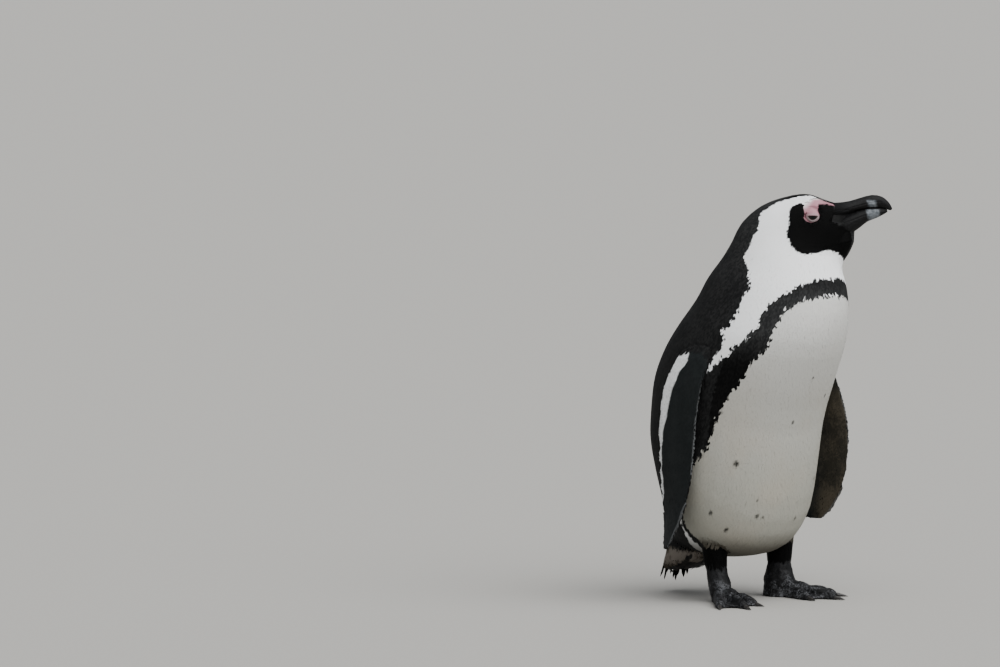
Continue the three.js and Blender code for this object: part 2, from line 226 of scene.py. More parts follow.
# ---- Skin
# One skin runs from the bill's base over the head, neck, trunk, flippers and tail and down to the
# toes, as deep under the solids as the coat is thick. It folds into eyelids and into the horn.
SWELL = 0.0004
BODY_VOXEL = 0.0025
LEG_VOXEL = 0.0015
SHELL = ["trunk", "neck", "head", "tail", "wing_left", "wing_right", "eye_left", "eye_right"]
LEGS = ["leg_left", "foot_left", "leg_right", "foot_right"]
HORN_STUB_END = 84
FLIPPER_CLEARANCE = 0.0035
FLIPPER_FREE_BELOW = (0.247, 0.227)
LEG_RISE_START = 0.038
LUMP_HEIGHT = 0.0008
TAIL_SKIN_RISE = 42
FLIPPER_TOP = 262
COAT_HEIGHTS = [0, 60, 150, 300, 345, 370, 385, 440]
COAT_DEPTHS = [1.9, 1.9, 1.7, 1.6, 1.4, 1.2, 1.05, 1.0]


def copy_of(names, swell=0.0):
    """The solids copied into one mesh, with whole surfaces, swollen by a fraction of a millimetre."""
    bpy.ops.object.select_all(action="DESELECT")
    for name in names:
        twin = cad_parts[name].copy()
        twin.data = twin.data.copy()
        twin.parent = None
        twin.hide_render = twin.hide_viewport = False
        for key in list(twin.keys()):
            del twin[key]
        bpy.context.scene.collection.objects.link(twin)
        twin.select_set(True)
        bpy.context.view_layer.objects.active = twin
    if len(names) > 1:
        bpy.ops.object.join()
    twin = bpy.context.object
    bpy.ops.object.mode_set(mode="EDIT")
    bpy.ops.mesh.select_all(action="SELECT")
    bpy.ops.mesh.remove_doubles(threshold=0.00002)
    if swell:
        bpy.ops.transform.shrink_fatten(value=swell)
    bpy.ops.object.mode_set(mode="OBJECT")
    return twin


def apply_modifier(piece, kind, **settings):
    bpy.context.view_layer.objects.active = piece
    made = piece.modifiers.new("shaping", kind)
    for name, value in settings.items():
        setattr(made, name, value)
    bpy.ops.object.modifier_apply(modifier=made.name)


def join_into(piece, other):
    bpy.ops.object.select_all(action="DESELECT")
    other.select_set(True)
    piece.select_set(True)
    bpy.context.view_layer.objects.active = piece
    bpy.ops.object.join()


def normals_of(piece):
    return rows_of(piece.data.vertex_normals, "vector")


def tree_of(names):
    """A search tree over the faces of some solids."""
    corners = [points_of(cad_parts[name]) for name in names]
    offsets = np.cumsum([0] + [len(c) for c in corners])
    faces = [
        [vertex + offset for vertex in face.vertices]
        for name, offset in zip(names, offsets)
        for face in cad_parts[name].data.polygons
    ]
    return BVHTree.FromPolygons([Vector(c) for c in np.concatenate(corners)], faces)


def distances_to(tree, points):
    return np.array([tree.find_nearest(Vector(p))[3] for p in points])


def smooth_step(low, high, value):
    share = np.clip((value - low) / (high - low), 0, 1)
    return share * share * (3 - 2 * share)


def bird_frame(points):
    """Left, forward and up of the neck's axis, in millimetres."""
    arm = (np.asarray(points) - np.array(pivot)) * 1000
    return arm[:, 0], -arm[:, 1], arm[:, 2]


def head_frame(points, turn=HEAD_TURN):
    """Forward along the bill, to the head's left and up, in millimetres."""
    left, forward, up = bird_frame(points)
    return left * np.sin(turn) + forward * np.cos(turn), left * np.cos(turn) - forward * np.sin(turn), up


def from_head_frame(forward, left, up):
    ahead, aside = np.array(gaze), np.array([cos(HEAD_TURN), sin(HEAD_TURN), 0])
    flat = forward[:, None] * ahead + left[:, None] * aside
    return np.array(pivot) + (flat + up[:, None] * np.array([0, 0, 1])) / 1000


def past_feathers(forward, up):
    """How far into the bare horn a point of the bill's base is, beyond the line of the face feathers."""
    edge = np.interp(up, [385, 393, 400, 419.5, 426], [125, 88, 55.6, 62, 64])
    return (forward - edge) * np.where(up < 400, 0.21, 0.95)


def bare_horn_depth(forward, up):
    """The same, and well below zero away from the bill."""
    return np.where((up > 380) & (forward > 50), past_feathers(forward, up), -9)


def subdivide_where(piece, chosen, cuts, repeat):
    """Splits the faces chosen by their centres, and rounds the new points."""
    bpy.ops.object.select_all(action="DESELECT")
    bpy.context.view_layer.objects.active = piece
    mesh = piece.data
    mesh.vertices.foreach_set("select", np.zeros(len(mesh.vertices), bool))
    mesh.edges.foreach_set("select", np.zeros(len(mesh.edges), bool))
    mesh.polygons.foreach_set("select", chosen)
    bpy.context.tool_settings.mesh_select_mode = (False, False, True)
    bpy.ops.object.mode_set(mode="EDIT")
    bpy.ops.mesh.subdivide(number_cuts=cuts)
    bpy.ops.mesh.vertices_smooth(factor=0.5, repeat=repeat)
    bpy.ops.object.mode_set(mode="OBJECT")


def face_centres(piece):
    return rows_of(piece.data.polygons, "center")


def clear_of_flank(points, sign):
    """Holds flipper points away from the flank, or puts them back, so that no web grows in the gap."""
    away = smooth_step(*FLIPPER_FREE_BELOW, points[:, 2]) * FLIPPER_CLEARANCE
    points[:, 0] += sign * np.sign(points[:, 0]) * away
    return points


skin = copy_of([name for name in SHELL if not name.startswith("wing")], SWELL)
blades = copy_of(["wing_left", "wing_right"], SWELL)
move_points(blades, clear_of_flank(points_of(blades), 1))
join_into(skin, blades)
stub = copy_of(["bill_upper", "bill_lower"], SWELL)
bpy.ops.object.mode_set(mode="EDIT")
bpy.ops.mesh.select_all(action="SELECT")
bpy.ops.mesh.bisect(
    plane_co=pivot + gaze * HORN_STUB_END / 1000, plane_no=gaze, use_fill=True, clear_outer=True
)
bpy.ops.object.mode_set(mode="OBJECT")
join_into(skin, stub)
skin.name = "skin"
apply_modifier(skin, "REMESH", mode="VOXEL", voxel_size=BODY_VOXEL)

CAD_PARTS = [["trunk", "neck", "head", "bill_upper", "bill_lower"], ["wing_left"], ["wing_right"], ["tail"]]
BODY, WING_LEFT, WING_RIGHT, TAIL, LEG = range(5)
cad_trees = [tree_of(names) for names in CAD_PARTS]
skin_points = points_of(skin)
skin_part = np.argmin([distances_to(tree, skin_points) for tree in cad_trees], axis=0)
on_wing = np.isin(skin_part, (WING_LEFT, WING_RIGHT))
skin_points[on_wing] = clear_of_flank(skin_points[on_wing], -1)
move_points(skin, skin_points)
height = skin_points[:, 2] * 1000
evenness = np.interp(height, [0, 300, 360, 380, 440], [1, 1, 0.7, 0.35, 0.25])
evenness = np.where(skin_part == BODY, evenness, np.interp(height, [240, FLIPPER_TOP], [0.06, 0.9]))
softness = skin.vertex_groups.new(name="softness")
for level in np.unique(np.round(evenness, 2)):
    softness.add(np.flatnonzero(np.round(evenness, 2) == level).tolist(), float(level), "REPLACE")
apply_modifier(skin, "SMOOTH", factor=0.5, iterations=30, vertex_group="softness")
skin.vertex_groups.clear()

points = points_of(skin)
for part in (WING_LEFT, WING_RIGHT):
    mine = np.flatnonzero((skin_part == part) & (height < FLIPPER_TOP))
    points[mine] = [cad_trees[part].find_nearest(Vector(point))[0] for point in points[mine]]
tail_end = (skin_part == TAIL) & (height < TAIL_SKIN_RISE)
points[tail_end, 2] += (TAIL_SKIN_RISE - height[tail_end]) * 0.00030
move_points(skin, points)
wings = skin.vertex_groups.new(name="wings")
wings.add(np.flatnonzero(np.isin(skin_part, (WING_LEFT, WING_RIGHT))).tolist(), 0.6, "REPLACE")
apply_modifier(skin, "SMOOTH", factor=0.5, iterations=2, vertex_group="wings")
skin.vertex_groups.clear()

depth = np.interp(height, COAT_HEIGHTS, COAT_DEPTHS)
depth = np.select([skin_part == TAIL, skin_part != BODY], [2.2, 0.1], depth)
forward, _, up = head_frame(points_of(skin))
depth = np.where((up > 375) & (forward > 15) & (skin_part == BODY), 0.95, depth)
move_points(skin, points_of(skin) - normals_of(skin) * (depth / 1000 + SWELL)[:, None])

eye_places = [np.array(middle("eye_left")), np.array(middle("eye_right"))]
for lid_reach, cuts, rounds in ((0.0150, 3, 3), (0.0125, 1, 6)):
    centres = face_centres(skin)
    gaps = [np.linalg.norm(centres - place, axis=1) for place in eye_places]
    subdivide_where(skin, np.min(gaps, axis=0) < lid_reach, cuts, rounds)
forward, _, up = head_frame(face_centres(skin))
at_horn = (np.abs(past_feathers(forward, up)) < 3.0) & (up > 380) & (forward > 50)
subdivide_where(skin, at_horn, 1, 2)

# The opening is a half-moon, flat above, and a pale swollen ring of lid lies round it.
EYE_OPENING = [
    (-5.0, 0.8), (-3.9, 1.2), (-2.0, 1.35), (0, 1.4), (2.2, 1.35), (4.2, 1.1), (5.4, 0.5),
    (4.6, -0.7), (3.2, -1.9), (1.6, -2.7), (0, -3.05), (-1.6, -2.7), (-3.0, -1.9), (-4.2, -0.6),
]


def depth_inside(across, along, outline):
    """Millimetres inside a closed outline, and below zero outside it."""
    start = np.array(outline, float)
    edge = np.roll(start, -1, 0) - start
    point = np.stack([across, along], 1)[:, None]
    share = np.clip(((point - start) * edge).sum(2) / (edge**2).sum(1), 0, 1)
    gap = np.linalg.norm(point - start - share[..., None] * edge, axis=2).min(1)
    end = start + edge
    rises = (start[:, 1] > along[:, None]) != (end[:, 1] > along[:, None])
    slope = edge[:, 0] / np.where(edge[:, 1] == 0, 1e-9, edge[:, 1])
    before = across[:, None] < start[:, 0] + (along[:, None] - start[:, 1]) * slope
    return np.where((rises & before).sum(1) % 2 == 1, gap, -gap)


def shape_lids(piece):
    """Lays the lids on the ball and opens them."""
    points = points_of(piece)
    forward, left, up = head_frame(points)
    _, eye_left, eye_up = head_frame(np.array(eye_places))
    across, along, out = forward - EYE_FORWARD, up - eye_up.mean(), np.abs(left) - np.abs(eye_left).mean()
    reach = np.hypot(across, along)
    near = (reach < 12) & (out > -3)
    inside = depth_inside(across[near], along[near], EYE_OPENING)
    reach, face = reach[near], out[near]
    ball = np.sqrt(np.clip(EYE_RADIUS**2 - reach**2, 0, None))
    back = -inside
    bead = 0.55 + 0.3 * np.exp(-(((back - 0.9) / 0.7) ** 2)) - 0.3 * np.exp(-(((back - 2.7) / 0.5) ** 2))
    folds = 0.12 * np.sin(back * 3.4) * smooth_step(2.6, 3.6, back) * smooth_step(9, 5, back)
    lid = np.sqrt(np.clip((EYE_RADIUS + 0.02) ** 2 - reach**2, 0.3, None)) + bead
    outer = np.maximum(face, lid - 0.25 * np.clip(back - 3, 0, None)) + folds
    surface = np.where(back > 1.5, lid + (outer - lid) * smooth_step(2.4, 4.5, back), lid)
    surface = surface + (face - surface) * smooth_step(5.2, 8.2, back)
    surface = np.maximum(surface, ball + 0.45 * (reach < EYE_RADIUS + 0.4))
    surface = surface + (ball - 0.9 - surface) * smooth_step(-0.05, 0.45, inside)
    shaped = np.sign(left[near]) * (surface + np.abs(eye_left).mean())
    points[near] = from_head_frame(forward[near], shaped, up[near])
    move_points(piece, points)


shape_lids(skin)

# The horn of the bill sits over the skin, so beyond the face feathers the skin dives under it.
points = points_of(skin)
forward, left, up = head_frame(points)
bare_horn = bare_horn_depth(forward, up)
sinking = np.flatnonzero(bare_horn > -0.3)
bill_tree = tree_of(["bill_upper", "bill_lower"])
gap = distances_to(bill_tree, points[sinking])
sink = smooth_step(-0.3, 1.1, bare_horn[sinking]) * (np.minimum(gap, 0.0025) + 0.0012)
points[sinking] -= normals_of(skin)[sinking] * sink[:, None]
forward, left, up = head_frame(points)
axis_up = np.interp(forward, [60, 84], [405, 412.5])
squeeze = 0.3 * smooth_step(64, 72, forward) * (up > 380)
points = from_head_frame(forward, left * (1 - squeeze), up + (axis_up - up) * squeeze)
move_points(skin, points)

legs = copy_of(LEGS, 0.0)
apply_modifier(legs, "REMESH", mode="VOXEL", voxel_size=LEG_VOXEL)
apply_modifier(legs, "SMOOTH", factor=0.5, iterations=3)
points = points_of(legs)
lumps = [noise.noise(Vector(point) * 120) + 0.5 * noise.noise(Vector(point) * 260) for point in points]
low = points[:, 2]
lumps = LUMP_HEIGHT * (np.array(lumps) - 0.3) * smooth_step(0.045, 0.03, low) * smooth_step(0.002, 0.005, low)
points += normals_of(legs) * (lumps - np.where(points[:, 2] > 0.0012, 0.00035, 0))[:, None]
points[:, 2] += np.clip(points[:, 2] - LEG_RISE_START, 0, None) * 0.5
points[:, 2] = np.maximum(points[:, 2], 0.0)
move_points(legs, points)
leg_count = len(points)
join_into(skin, legs)
bpy.ops.object.shade_smooth()

# ---- Markings
# Black and white are grown into the feathers, and the skin beneath is dark under the dark ones. Each
# edge is a line round the body, given as degrees from the breast's middle and height in millimetres.
TURN_HEIGHTS = [290, 320, 335, 345, 357, 368, 380]
TURN_DEGREES = [0, 3, 7, 14, 26, 38, 45]
MIDLINE_HEIGHTS = [60, 86, 107, 128, 160, 191, 212, 233, 254, 275, 296, 317, 338, 357, 372]
MIDLINE_FORWARD = [-75, -62, -57, -57, -60, -56, -52, -46, -37, -26, -13, -3, 0.5, 5.5, 11]
DEGREE_WIDTH = 1.3
BACK_EDGE = [
    (98, 40), (96, 50), (95, 57), (93.5, 65), (96.5, 77), (101, 90), (103, 120), (99, 150), (95, 180),
    (89, 210), (83, 230), (76, 248), (74, 261), (73, 278), (81, 288), (78, 295), (78, 303), (79, 309),
    (83, 316), (84, 323), (82, 333), (90, 341), (104, 349), (120, 356), (135, 363), (144, 372),
]
BAND_OUTER = [
    (-8, 341), (7, 341), (14, 340.5), (21, 338), (27, 336), (34, 333), (39, 330), (43, 327), (47, 324),
    (50, 321), (54, 318), (55, 314), (56, 308), (57, 303), (54, 296), (51, 291), (56, 289), (58, 286),
    (58, 281), (60, 275), (65, 270), (68, 259), (75, 246), (79, 230), (83, 210), (88, 180), (91, 150),
    (94, 120), (97, 95), (96, 80), (88, 69.5), (79, 61), (73, 54), (66, 48), (56, 43),
]
BAND_INNER = [
    (54, 47.5), (59, 53), (67, 60), (76, 67.5), (86, 75), (92, 83), (92, 92), (88, 108), (82, 130),
    (76, 150), (71, 155), (66, 164), (65, 169), (64, 178), (62, 185), (61, 193), (60, 201),
    (58, 209), (57, 214), (56, 220), (54, 226), (51, 232), (50, 239), (48, 249), (46, 260),
    (44, 265), (41, 271), (40, 276), (41, 283), (40, 302), (39, 306), (37, 310), (34, 313),
    (29, 316), (24, 319), (20, 321), (14, 322), (7, 323.5), (-8, 323.5),
]
FACE_MASK = [
    (27.2, 416.6), (22.9, 419.6), (17.9, 417.8), (13.1, 413.5), (11.4, 404.9), (9.9, 396.7),
    (8.8, 383.8), (13.5, 376.3), (18.6, 368.9), (24.7, 366.4), (30.9, 365.8), (37.4, 368.1),
    (46, 369.2), (53.8, 370.2), (62.6, 366.5), (68, 360.4), (72, 354), (110, 350), (130, 400),
    (90, 428), (66, 420), (60.5, 418.7), (51, 421), (43.8, 421), (37, 412), (28.5, 412),
]
BARE_SKIN = [
    (28.4, 409), (27.4, 415.6), (30.2, 418.6), (33.6, 420.8), (37.6, 423.6), (45, 423.4),
    (52.5, 421.9), (59.8, 419.2), (61.8, 417.6), (60.0, 416.7), (51, 418.6), (43.1, 419.1),
    (42.4, 411), (44.6, 407.6), (44.3, 404.6), (41.8, 402.2), (38.6, 400.5), (35.4, 399.3), (32, 400.3),
    (29, 402.6), (26.8, 405.8),
]
CROWN_FORWARD = [-60, -31, -26.5, -21.3, -19.1, -17.7, -7.2, 3.4, 24.4, 36, 45, 62, 75]
CROWN_HALF = [60, 30, 26, 25, 21, 14, 12.5, 10.5, 8.5, 7, 5.5, 6, 8]
SPOTS = [
    (-3, 239, 1.6), (-8, 192, 1.8), (-46, 150, 3.2), (-65, 97, 2.4), (-29, 94, 2.2), (-24, 92, 1.6),
    (-50, 79, 2.4), (-67, 169, 2.0), (-71, 157, 2.6), (-31, 110, 1.3), (18, 218, 1.7), (41, 171, 2.6),
    (33, 128, 2.2), (57, 104, 2.8), (12, 88, 1.8), (62, 188, 2.2),
]


def round_body(points):
    """Degrees from the breast's middle (the bird's left is positive), height and girth's radius."""
    up = bird_frame(points)[2]
    turn = np.radians(np.interp(up, TURN_HEIGHTS, TURN_DEGREES))
    forward, left, up = head_frame(points, turn)
    ahead = forward - np.interp(up, MIDLINE_HEIGHTS, MIDLINE_FORWARD)
    return np.degrees(np.arctan2(left, ahead)), up, np.hypot(left, ahead)


def in_chunks(rule, *values):
    """A rule worked out for a few thousand points at a time."""
    parts = [rule(*(v[i : i + 8000] for v in values)) for i in range(0, len(values[0]), 8000)]
    return np.concatenate(parts) if parts else np.zeros(0)


def black_depth(points):
    """Millimetres inside the black plumage of the head, neck and trunk, below zero in the white."""
    angle, up, girth = round_body(points)
    forward, left, _ = head_frame(points)
    edge = np.array(BACK_EDGE)
    back = (np.abs(angle) - np.interp(up, edge[:, 1], edge[:, 0])) * np.radians(1) * girth
    crown = np.interp(forward, CROWN_FORWARD, CROWN_HALF) - np.abs(left)
    crown = np.where((forward < -19) | (up > 401), crown, -9)
    nape = np.where(up > 366, np.interp(up, [366, 378], [0, 1]) * (crown - back) + back, back)
    band = BAND_OUTER + BAND_INNER
    band = [(DEGREE_WIDTH * turn, level) for turn, level in band]
    depths = np.maximum(nape, depth_inside(DEGREE_WIDTH * np.abs(angle), up, band))
    return np.maximum(depths, np.where(up > 352, depth_inside(forward, up, FACE_MASK), -9))


def spot_depth(points):
    """Millimetres inside the small dark spots of the breast and belly."""
    angle, up, girth = round_body(points)
    gaps = [
        np.hypot((angle - turn) * np.radians(1) * girth, up - level) - size
        for turn, level, size in SPOTS
    ]
    return -np.min(gaps, axis=0)


def bare_depth(points):
    """Millimetres inside the bare skin between the eye and the bill."""
    forward, left, up = head_frame(points)
    inside = depth_inside(forward, up, BARE_SKIN)
    return np.where((up > 395) & (np.abs(left) > 4.5), np.minimum(inside, np.abs(left) - 5.5), -9)


def flipper_lines(points):
    """Rows of level, middle (left, forward), forward chord (left, forward) and half chord."""
    left, forward, up = bird_frame(points)
    rows = []
    for level in np.arange(60, 284, 8):
        ring = np.abs(up - level) < 5
        if ring.sum() < 12:
            continue
        flat = np.stack([left[ring], forward[ring]], 1)
        chord = np.linalg.eigh(np.cov((flat - flat.mean(0)).T))[1][:, 1]
        chord = chord * np.sign(chord[1])
        reach = (flat - flat.mean(0)) @ chord
        centre = flat.mean(0) + chord * (reach.max() + reach.min()) / 2
        rows.append([level, *centre, *chord, (reach.max() - reach.min()) / 2])
    return np.array(rows)


def on_flipper(points, lines):
    """Millimetres from the trailing edge and from the leading edge, height, and how far outwards."""
    left, forward, up = bird_frame(points)
    x, y, chord_x, chord_y, half = (np.interp(up, lines[:, 0], lines[:, k]) for k in range(1, 6))
    along = (left - x) * chord_x + (forward - y) * chord_y
    outer = ((left - x) * chord_y - (forward - y) * chord_x) * np.sign(x)
    return along + half, half - along, up, outer


BORDER_HEIGHTS = [102, 111, 119, 131, 150, 165, 182, 199, 215, 232, 247, 257, 264, 271, 275]
BORDER_WIDTHS = [-1.5, 3.5, 4.6, 4.2, 3.4, 4.2, 7.2, 9.6, 11.4, 13.5, 16, 20, 16, 11, 5]


def flipper_pale(points, lines):
    """Millimetres inside the white edges of a flipper, below zero in its dark part."""
    trailing, _, up, outer = on_flipper(points, lines)
    border = np.interp(up, BORDER_HEIGHTS, BORDER_WIDTHS) - trailing
    return np.where(outer > -1.5, border, border - 5)


def set_attribute(piece, name, values):
    """Gives every point of a mesh its value of a mark."""
    marks = piece.data.attributes
    made = marks[name] if name in marks else marks.new(name, "FLOAT", "POINT")
    made.data.foreach_set("value", np.asarray(values, np.float32))


points = points_of(skin)
skin_part = np.argmin([distances_to(tree, points[:-leg_count]) for tree in cad_trees], axis=0)
skin_part = np.concatenate([skin_part, np.full(leg_count, LEG)])
wing_lines = {part: flipper_lines(points[skin_part == part]) for part in (WING_LEFT, WING_RIGHT)}
dark = smooth_step(-0.8, 0.8, np.maximum(in_chunks(black_depth, points), spot_depth(points)))
for part, lines in wing_lines.items():
    chosen = skin_part == part
    dark[chosen] = smooth_step(0.8, -0.8, flipper_pale(points[chosen], lines))
dark[skin_part == TAIL] = 1
by_wing = np.flatnonzero((skin_part == BODY) & (points[:, 2] > 0.225) & (points[:, 2] < 0.3))
wing_solids = tree_of(["wing_left", "wing_right"])
by_wing = by_wing[distances_to(wing_solids, points[by_wing]) < 0.007]
dark[by_wing] = 1
bare = smooth_step(-0.5, 0.5, in_chunks(bare_depth, points)) * (skin_part == BODY)
set_attribute(skin, "dark", dark)
set_attribute(skin, "bare", np.maximum(bare, 0))
set_attribute(skin, "foot", skin_part == LEG)
eye_height = 1000 * eye_middle.z


def eye_reach(forward, up):
    """Millimetres from the eye's middle, as seen from the side."""
    return np.hypot(forward - EYE_FORWARD, up - eye_height)


forward, left, up = head_frame(points)
rim = np.full(len(points), -20.0)
near = (eye_reach(forward, up) < 12) & (np.abs(left) > 8)
rim[near] = depth_inside(forward[near] - EYE_FORWARD, up[near] - eye_height, EYE_OPENING)
below_lid = smooth_step(2.5, -1, up - eye_height)
set_attribute(skin, "lid", smooth_step(-3.3, -1.3, rim) * (0.45 + 0.55 * below_lid))
blanch = smooth_step(6.0, 0.5, (forward - 27.6) * 0.76 - (up - 416.3) * 0.65) * (up > 412)
set_attribute(skin, "blanch", blanch * smooth_step(412, 417, up))
set_attribute(skin, "lid_edge", smooth_step(-0.75, -0.2, rim))


def skin_material():
    material, tree, place = new_material("bird_skin")
    fine = tree.noise(place, 900.0, 3.0)
    coarse = tree.noise(place, 120.0, 4.0)
    down = tree.attribute("dark").mix((0.80, 0.78, 0.74, 1), (0.005, 0.005, 0.005, 1))
    pink = coarse.step(0.35, 0.7).mix((0.40, 0.205, 0.238, 1), (0.32, 0.145, 0.178, 1))
    pink = (tree.attribute("blanch") * 0.7).mix(pink, (0.70, 0.60, 0.62, 1))
    foot = coarse.step(0.4, 0.66).mix((0.0065, 0.0065, 0.007, 1), (0.016, 0.016, 0.017, 1))
    pink = (tree.attribute("lid") * 0.85).mix(pink, (0.37, 0.325, 0.33, 1))
    pink = (tree.attribute("lid_edge") * 0.8).mix(pink, (0.10, 0.06, 0.06, 1))
    colour = tree.attribute("bare").mix(down, pink)
    colour = tree.attribute("foot").mix(colour, foot)
    tree.finish(
        Base_Color=colour,
        Roughness=0.6 + 0.15 * fine,
        Specular_IOR_Level=0.16,
        Normal=tree.bump(fine + 0.5 * coarse, 0.0003, 0.6),
    )
    return material


settle(skin, "foot_skin", skin_material(), *SHELL[:6], *LEGS)

# ---- Coat
# Short stiff feathers overlap like shingles from the bill to the tail. Each is a thin closed vane with
# a raised middle, rooted in the skin, and its tip reaches the height of the solids.
rng = np.random.default_rng(11)
noise.seed_set(11)
PATCH = 0.003
ROOT_DEPTH = 0.0003


def vane_faces(stations):
    """Corners of one closed vane: its root, a left, right and middle point at each station, and its tip."""
    rows = [(1 + 3 * k, 2 + 3 * k, 3 + 3 * k) for k in range(stations)]
    tip = 1 + 3 * stations
    (left, right, ridge), faces = rows[0], []
    faces += [(0, ridge, left), (0, right, ridge), (0, left, right)]
    for (a, b, c), (d, e, f) in zip(rows, rows[1:]):
        faces += [(a, c, f), (a, f, d), (c, b, e), (c, e, f), (a, d, e), (a, e, b)]
    left, right, ridge = rows[-1]
    faces += [(left, ridge, tip), (ridge, right, tip), (left, tip, right)]
    return np.array(faces)


# Shares of a vane's length, its half width there and how high it has risen.
CONTOUR_VANE = [(0.42, 0.57, 0.80), (0.80, 0.46, 0.97)]


def unit(rows):
    return rows / np.maximum(np.linalg.norm(rows, axis=1), 1e-12)[:, None]


def soft_tree(piece, chosen):
    """A search tree over the faces of a mesh whose corners all belong to the chosen points."""
    kept = [face.vertices[:] for face in piece.data.polygons if chosen[list(face.vertices)].all()]
    return BVHTree.FromPolygons([vertex.co for vertex in piece.data.vertices], kept)


def triangles_of(piece):
    mesh = piece.data
    mesh.calc_loop_triangles()
    corners = np.empty(len(mesh.loop_triangles) * 3, np.int32)
    mesh.loop_triangles.foreach_get("vertices", corners)
    return corners.reshape(-1, 3)


def scatter(corners, spacing):
    """Roots spread over the skin's triangles, none closer than the spacing, in millimetres, at its place."""
    a, b, c = (skin_points[corners[:, k]] for k in range(3))
    area = np.linalg.norm(np.cross(b - a, c - a), axis=1) * 5e5
    gap = spacing[corners].min(1)
    weight = np.where(gap > 0, area / np.maximum(gap, 0.1) ** 2, 0)
    count = int(weight.sum() * 5)
    chosen = rng.choice(len(corners), count, p=weight / weight.sum())
    u, v = rng.random((2, count))
    u, v = np.where(u + v > 1, 1 - u, u)[:, None], np.where(u + v > 1, 1 - v, v)[:, None]
    roots = a[chosen] * (1 - u - v) + b[chosen] * u + c[chosen] * v
    p, q, r = (skin_normals[corners[chosen, k]] for k in range(3))
    normals = unit(p * (1 - u - v) + q * u + r * v)
    reach = spacing[corners[chosen]].mean(1) / 1000
    finder = KDTree(count)
    for index, root in enumerate(roots):
        finder.insert(root, index)
    finder.balance()
    alive, kept = bytearray(b"\x01" * count), []
    for index in range(count):
        if alive[index]:
            kept.append(index)
            for _, other, _ in finder.find_range(roots[index], reach[index]):
                alive[other] = 0
    return roots[kept], normals[kept]


def make_mesh(name, points, faces):
    """A mesh of triangles from rows of points and rows of corners."""
    mesh = bpy.data.meshes.new(name)
    mesh.vertices.add(len(points))
    mesh.vertices.foreach_set("co", np.asarray(points, np.float32).ravel())
    mesh.loops.add(faces.size)
    mesh.loops.foreach_set("vertex_index", faces.astype(np.int32).ravel())
    mesh.polygons.add(len(faces))
    mesh.polygons.foreach_set("loop_start", np.arange(0, faces.size, 3, dtype=np.int32))
    mesh.update(calc_edges=True)
    made = bpy.data.objects.new(name, mesh)
    bpy.context.scene.collection.objects.link(made)
    return made


def lay_on(tree, spots):
    """The nearest places on the skin and its facing there."""
    found = [tree.find_nearest(spot) for spot in spots]
    return np.array([f[0] for f in found]), np.array([f[1] for f in found])


def grow(
    name, tree, roots, normals, lies, length, width, lift, unwrapped, marks, vane=CONTOUR_VANE, bow=0.04,
    held=1.0,
):
    """A piece of coat: a vane on each root, laid along the lie over the skin, with its marks as attributes.
    Sizes are in millimetres. The bow is how far the vane's middle stands over its edges, in widths, and
    beyond the share of its length that is held to the skin a vane runs on straight."""
    count, tip = len(roots), 1 + 3 * len(vane)
    twist = rng.normal(0, 0.07, count)[:, None]
    heading = unit(lies - normals * (lies * normals).sum(1)[:, None])
    heading = unit(heading + np.cross(normals, heading) * twist)
    length, width = (size * rng.uniform(0.9, 1.1, count) / 1000 for size in (length, width))
    lift = lift * rng.uniform(0.96, 1.03, count) / 1000
    points = np.zeros((count, tip + 1, 3))
    facing = np.zeros((count, tip + 1, 3))
    points[:, 0] = roots - normals * ROOT_DEPTH
    facing[:, 0] = normals
    along, across = np.zeros(tip + 1), np.zeros(tip + 1)
    spot, before = roots, 0.0
    for step, (share, half, rise) in enumerate([*vane, (1.0, 0.0, 1.0)]):
        spot = spot + heading * ((share - before) * length)[:, None]
        if share <= held:
            spot, normals = lay_on(tree, spot)
        heading = unit(heading - normals * (heading * normals).sum(1)[:, None])
        aside = np.cross(normals, heading)
        line = spot + normals * (lift * rise)[:, None]
        first = 1 + 3 * step
        for index, sign in ((first, 1), (first + 1, -1), (first + 2, 0)):
            if share == 1.0 and sign:
                continue
            index = tip if share == 1.0 else index
            height = 0 if sign or share == 1.0 else bow
            points[:, index] = line + (aside * sign * half + normals * height) * width[:, None]
            facing[:, index] = normals + 0.18 * sign * aside
            along[index], across[index] = share, sign * half
        before = share
    faces = (vane_faces(len(vane))[None] + (tip + 1) * np.arange(count)[:, None, None]).reshape(-1, 3)
    piece = make_mesh(name, points.reshape(-1, 3), faces)
    for mark, values in {**marks, "vary": rng.random(count)}.items():
        set_attribute(piece, mark, np.repeat(values, tip + 1))
    set_attribute(piece, "along", np.tile(along, count))
    patch = np.stack([across, along - 0.5], 1) * PATCH
    layout = (np.clip(unwrapped, 0.004, 0.996)[:, None] + patch[None]).reshape(-1, 2)
    layer = piece.data.uv_layers.new(name="OFBake")
    layer.data.foreach_set("uv", layout[faces.ravel()].astype(np.float32).ravel())
    piece.data.polygons.foreach_set("use_smooth", np.ones(len(faces), bool))
    piece.data.normals_split_custom_set_from_vertices(unit(facing.reshape(-1, 3)))
    return piece


def spread(values, low=0.01, high=0.99):
    """Values scaled to fill a strip of the unwrapped square."""
    return low + (high - low) * (values - values.min()) / (np.ptp(values) + 1e-9)


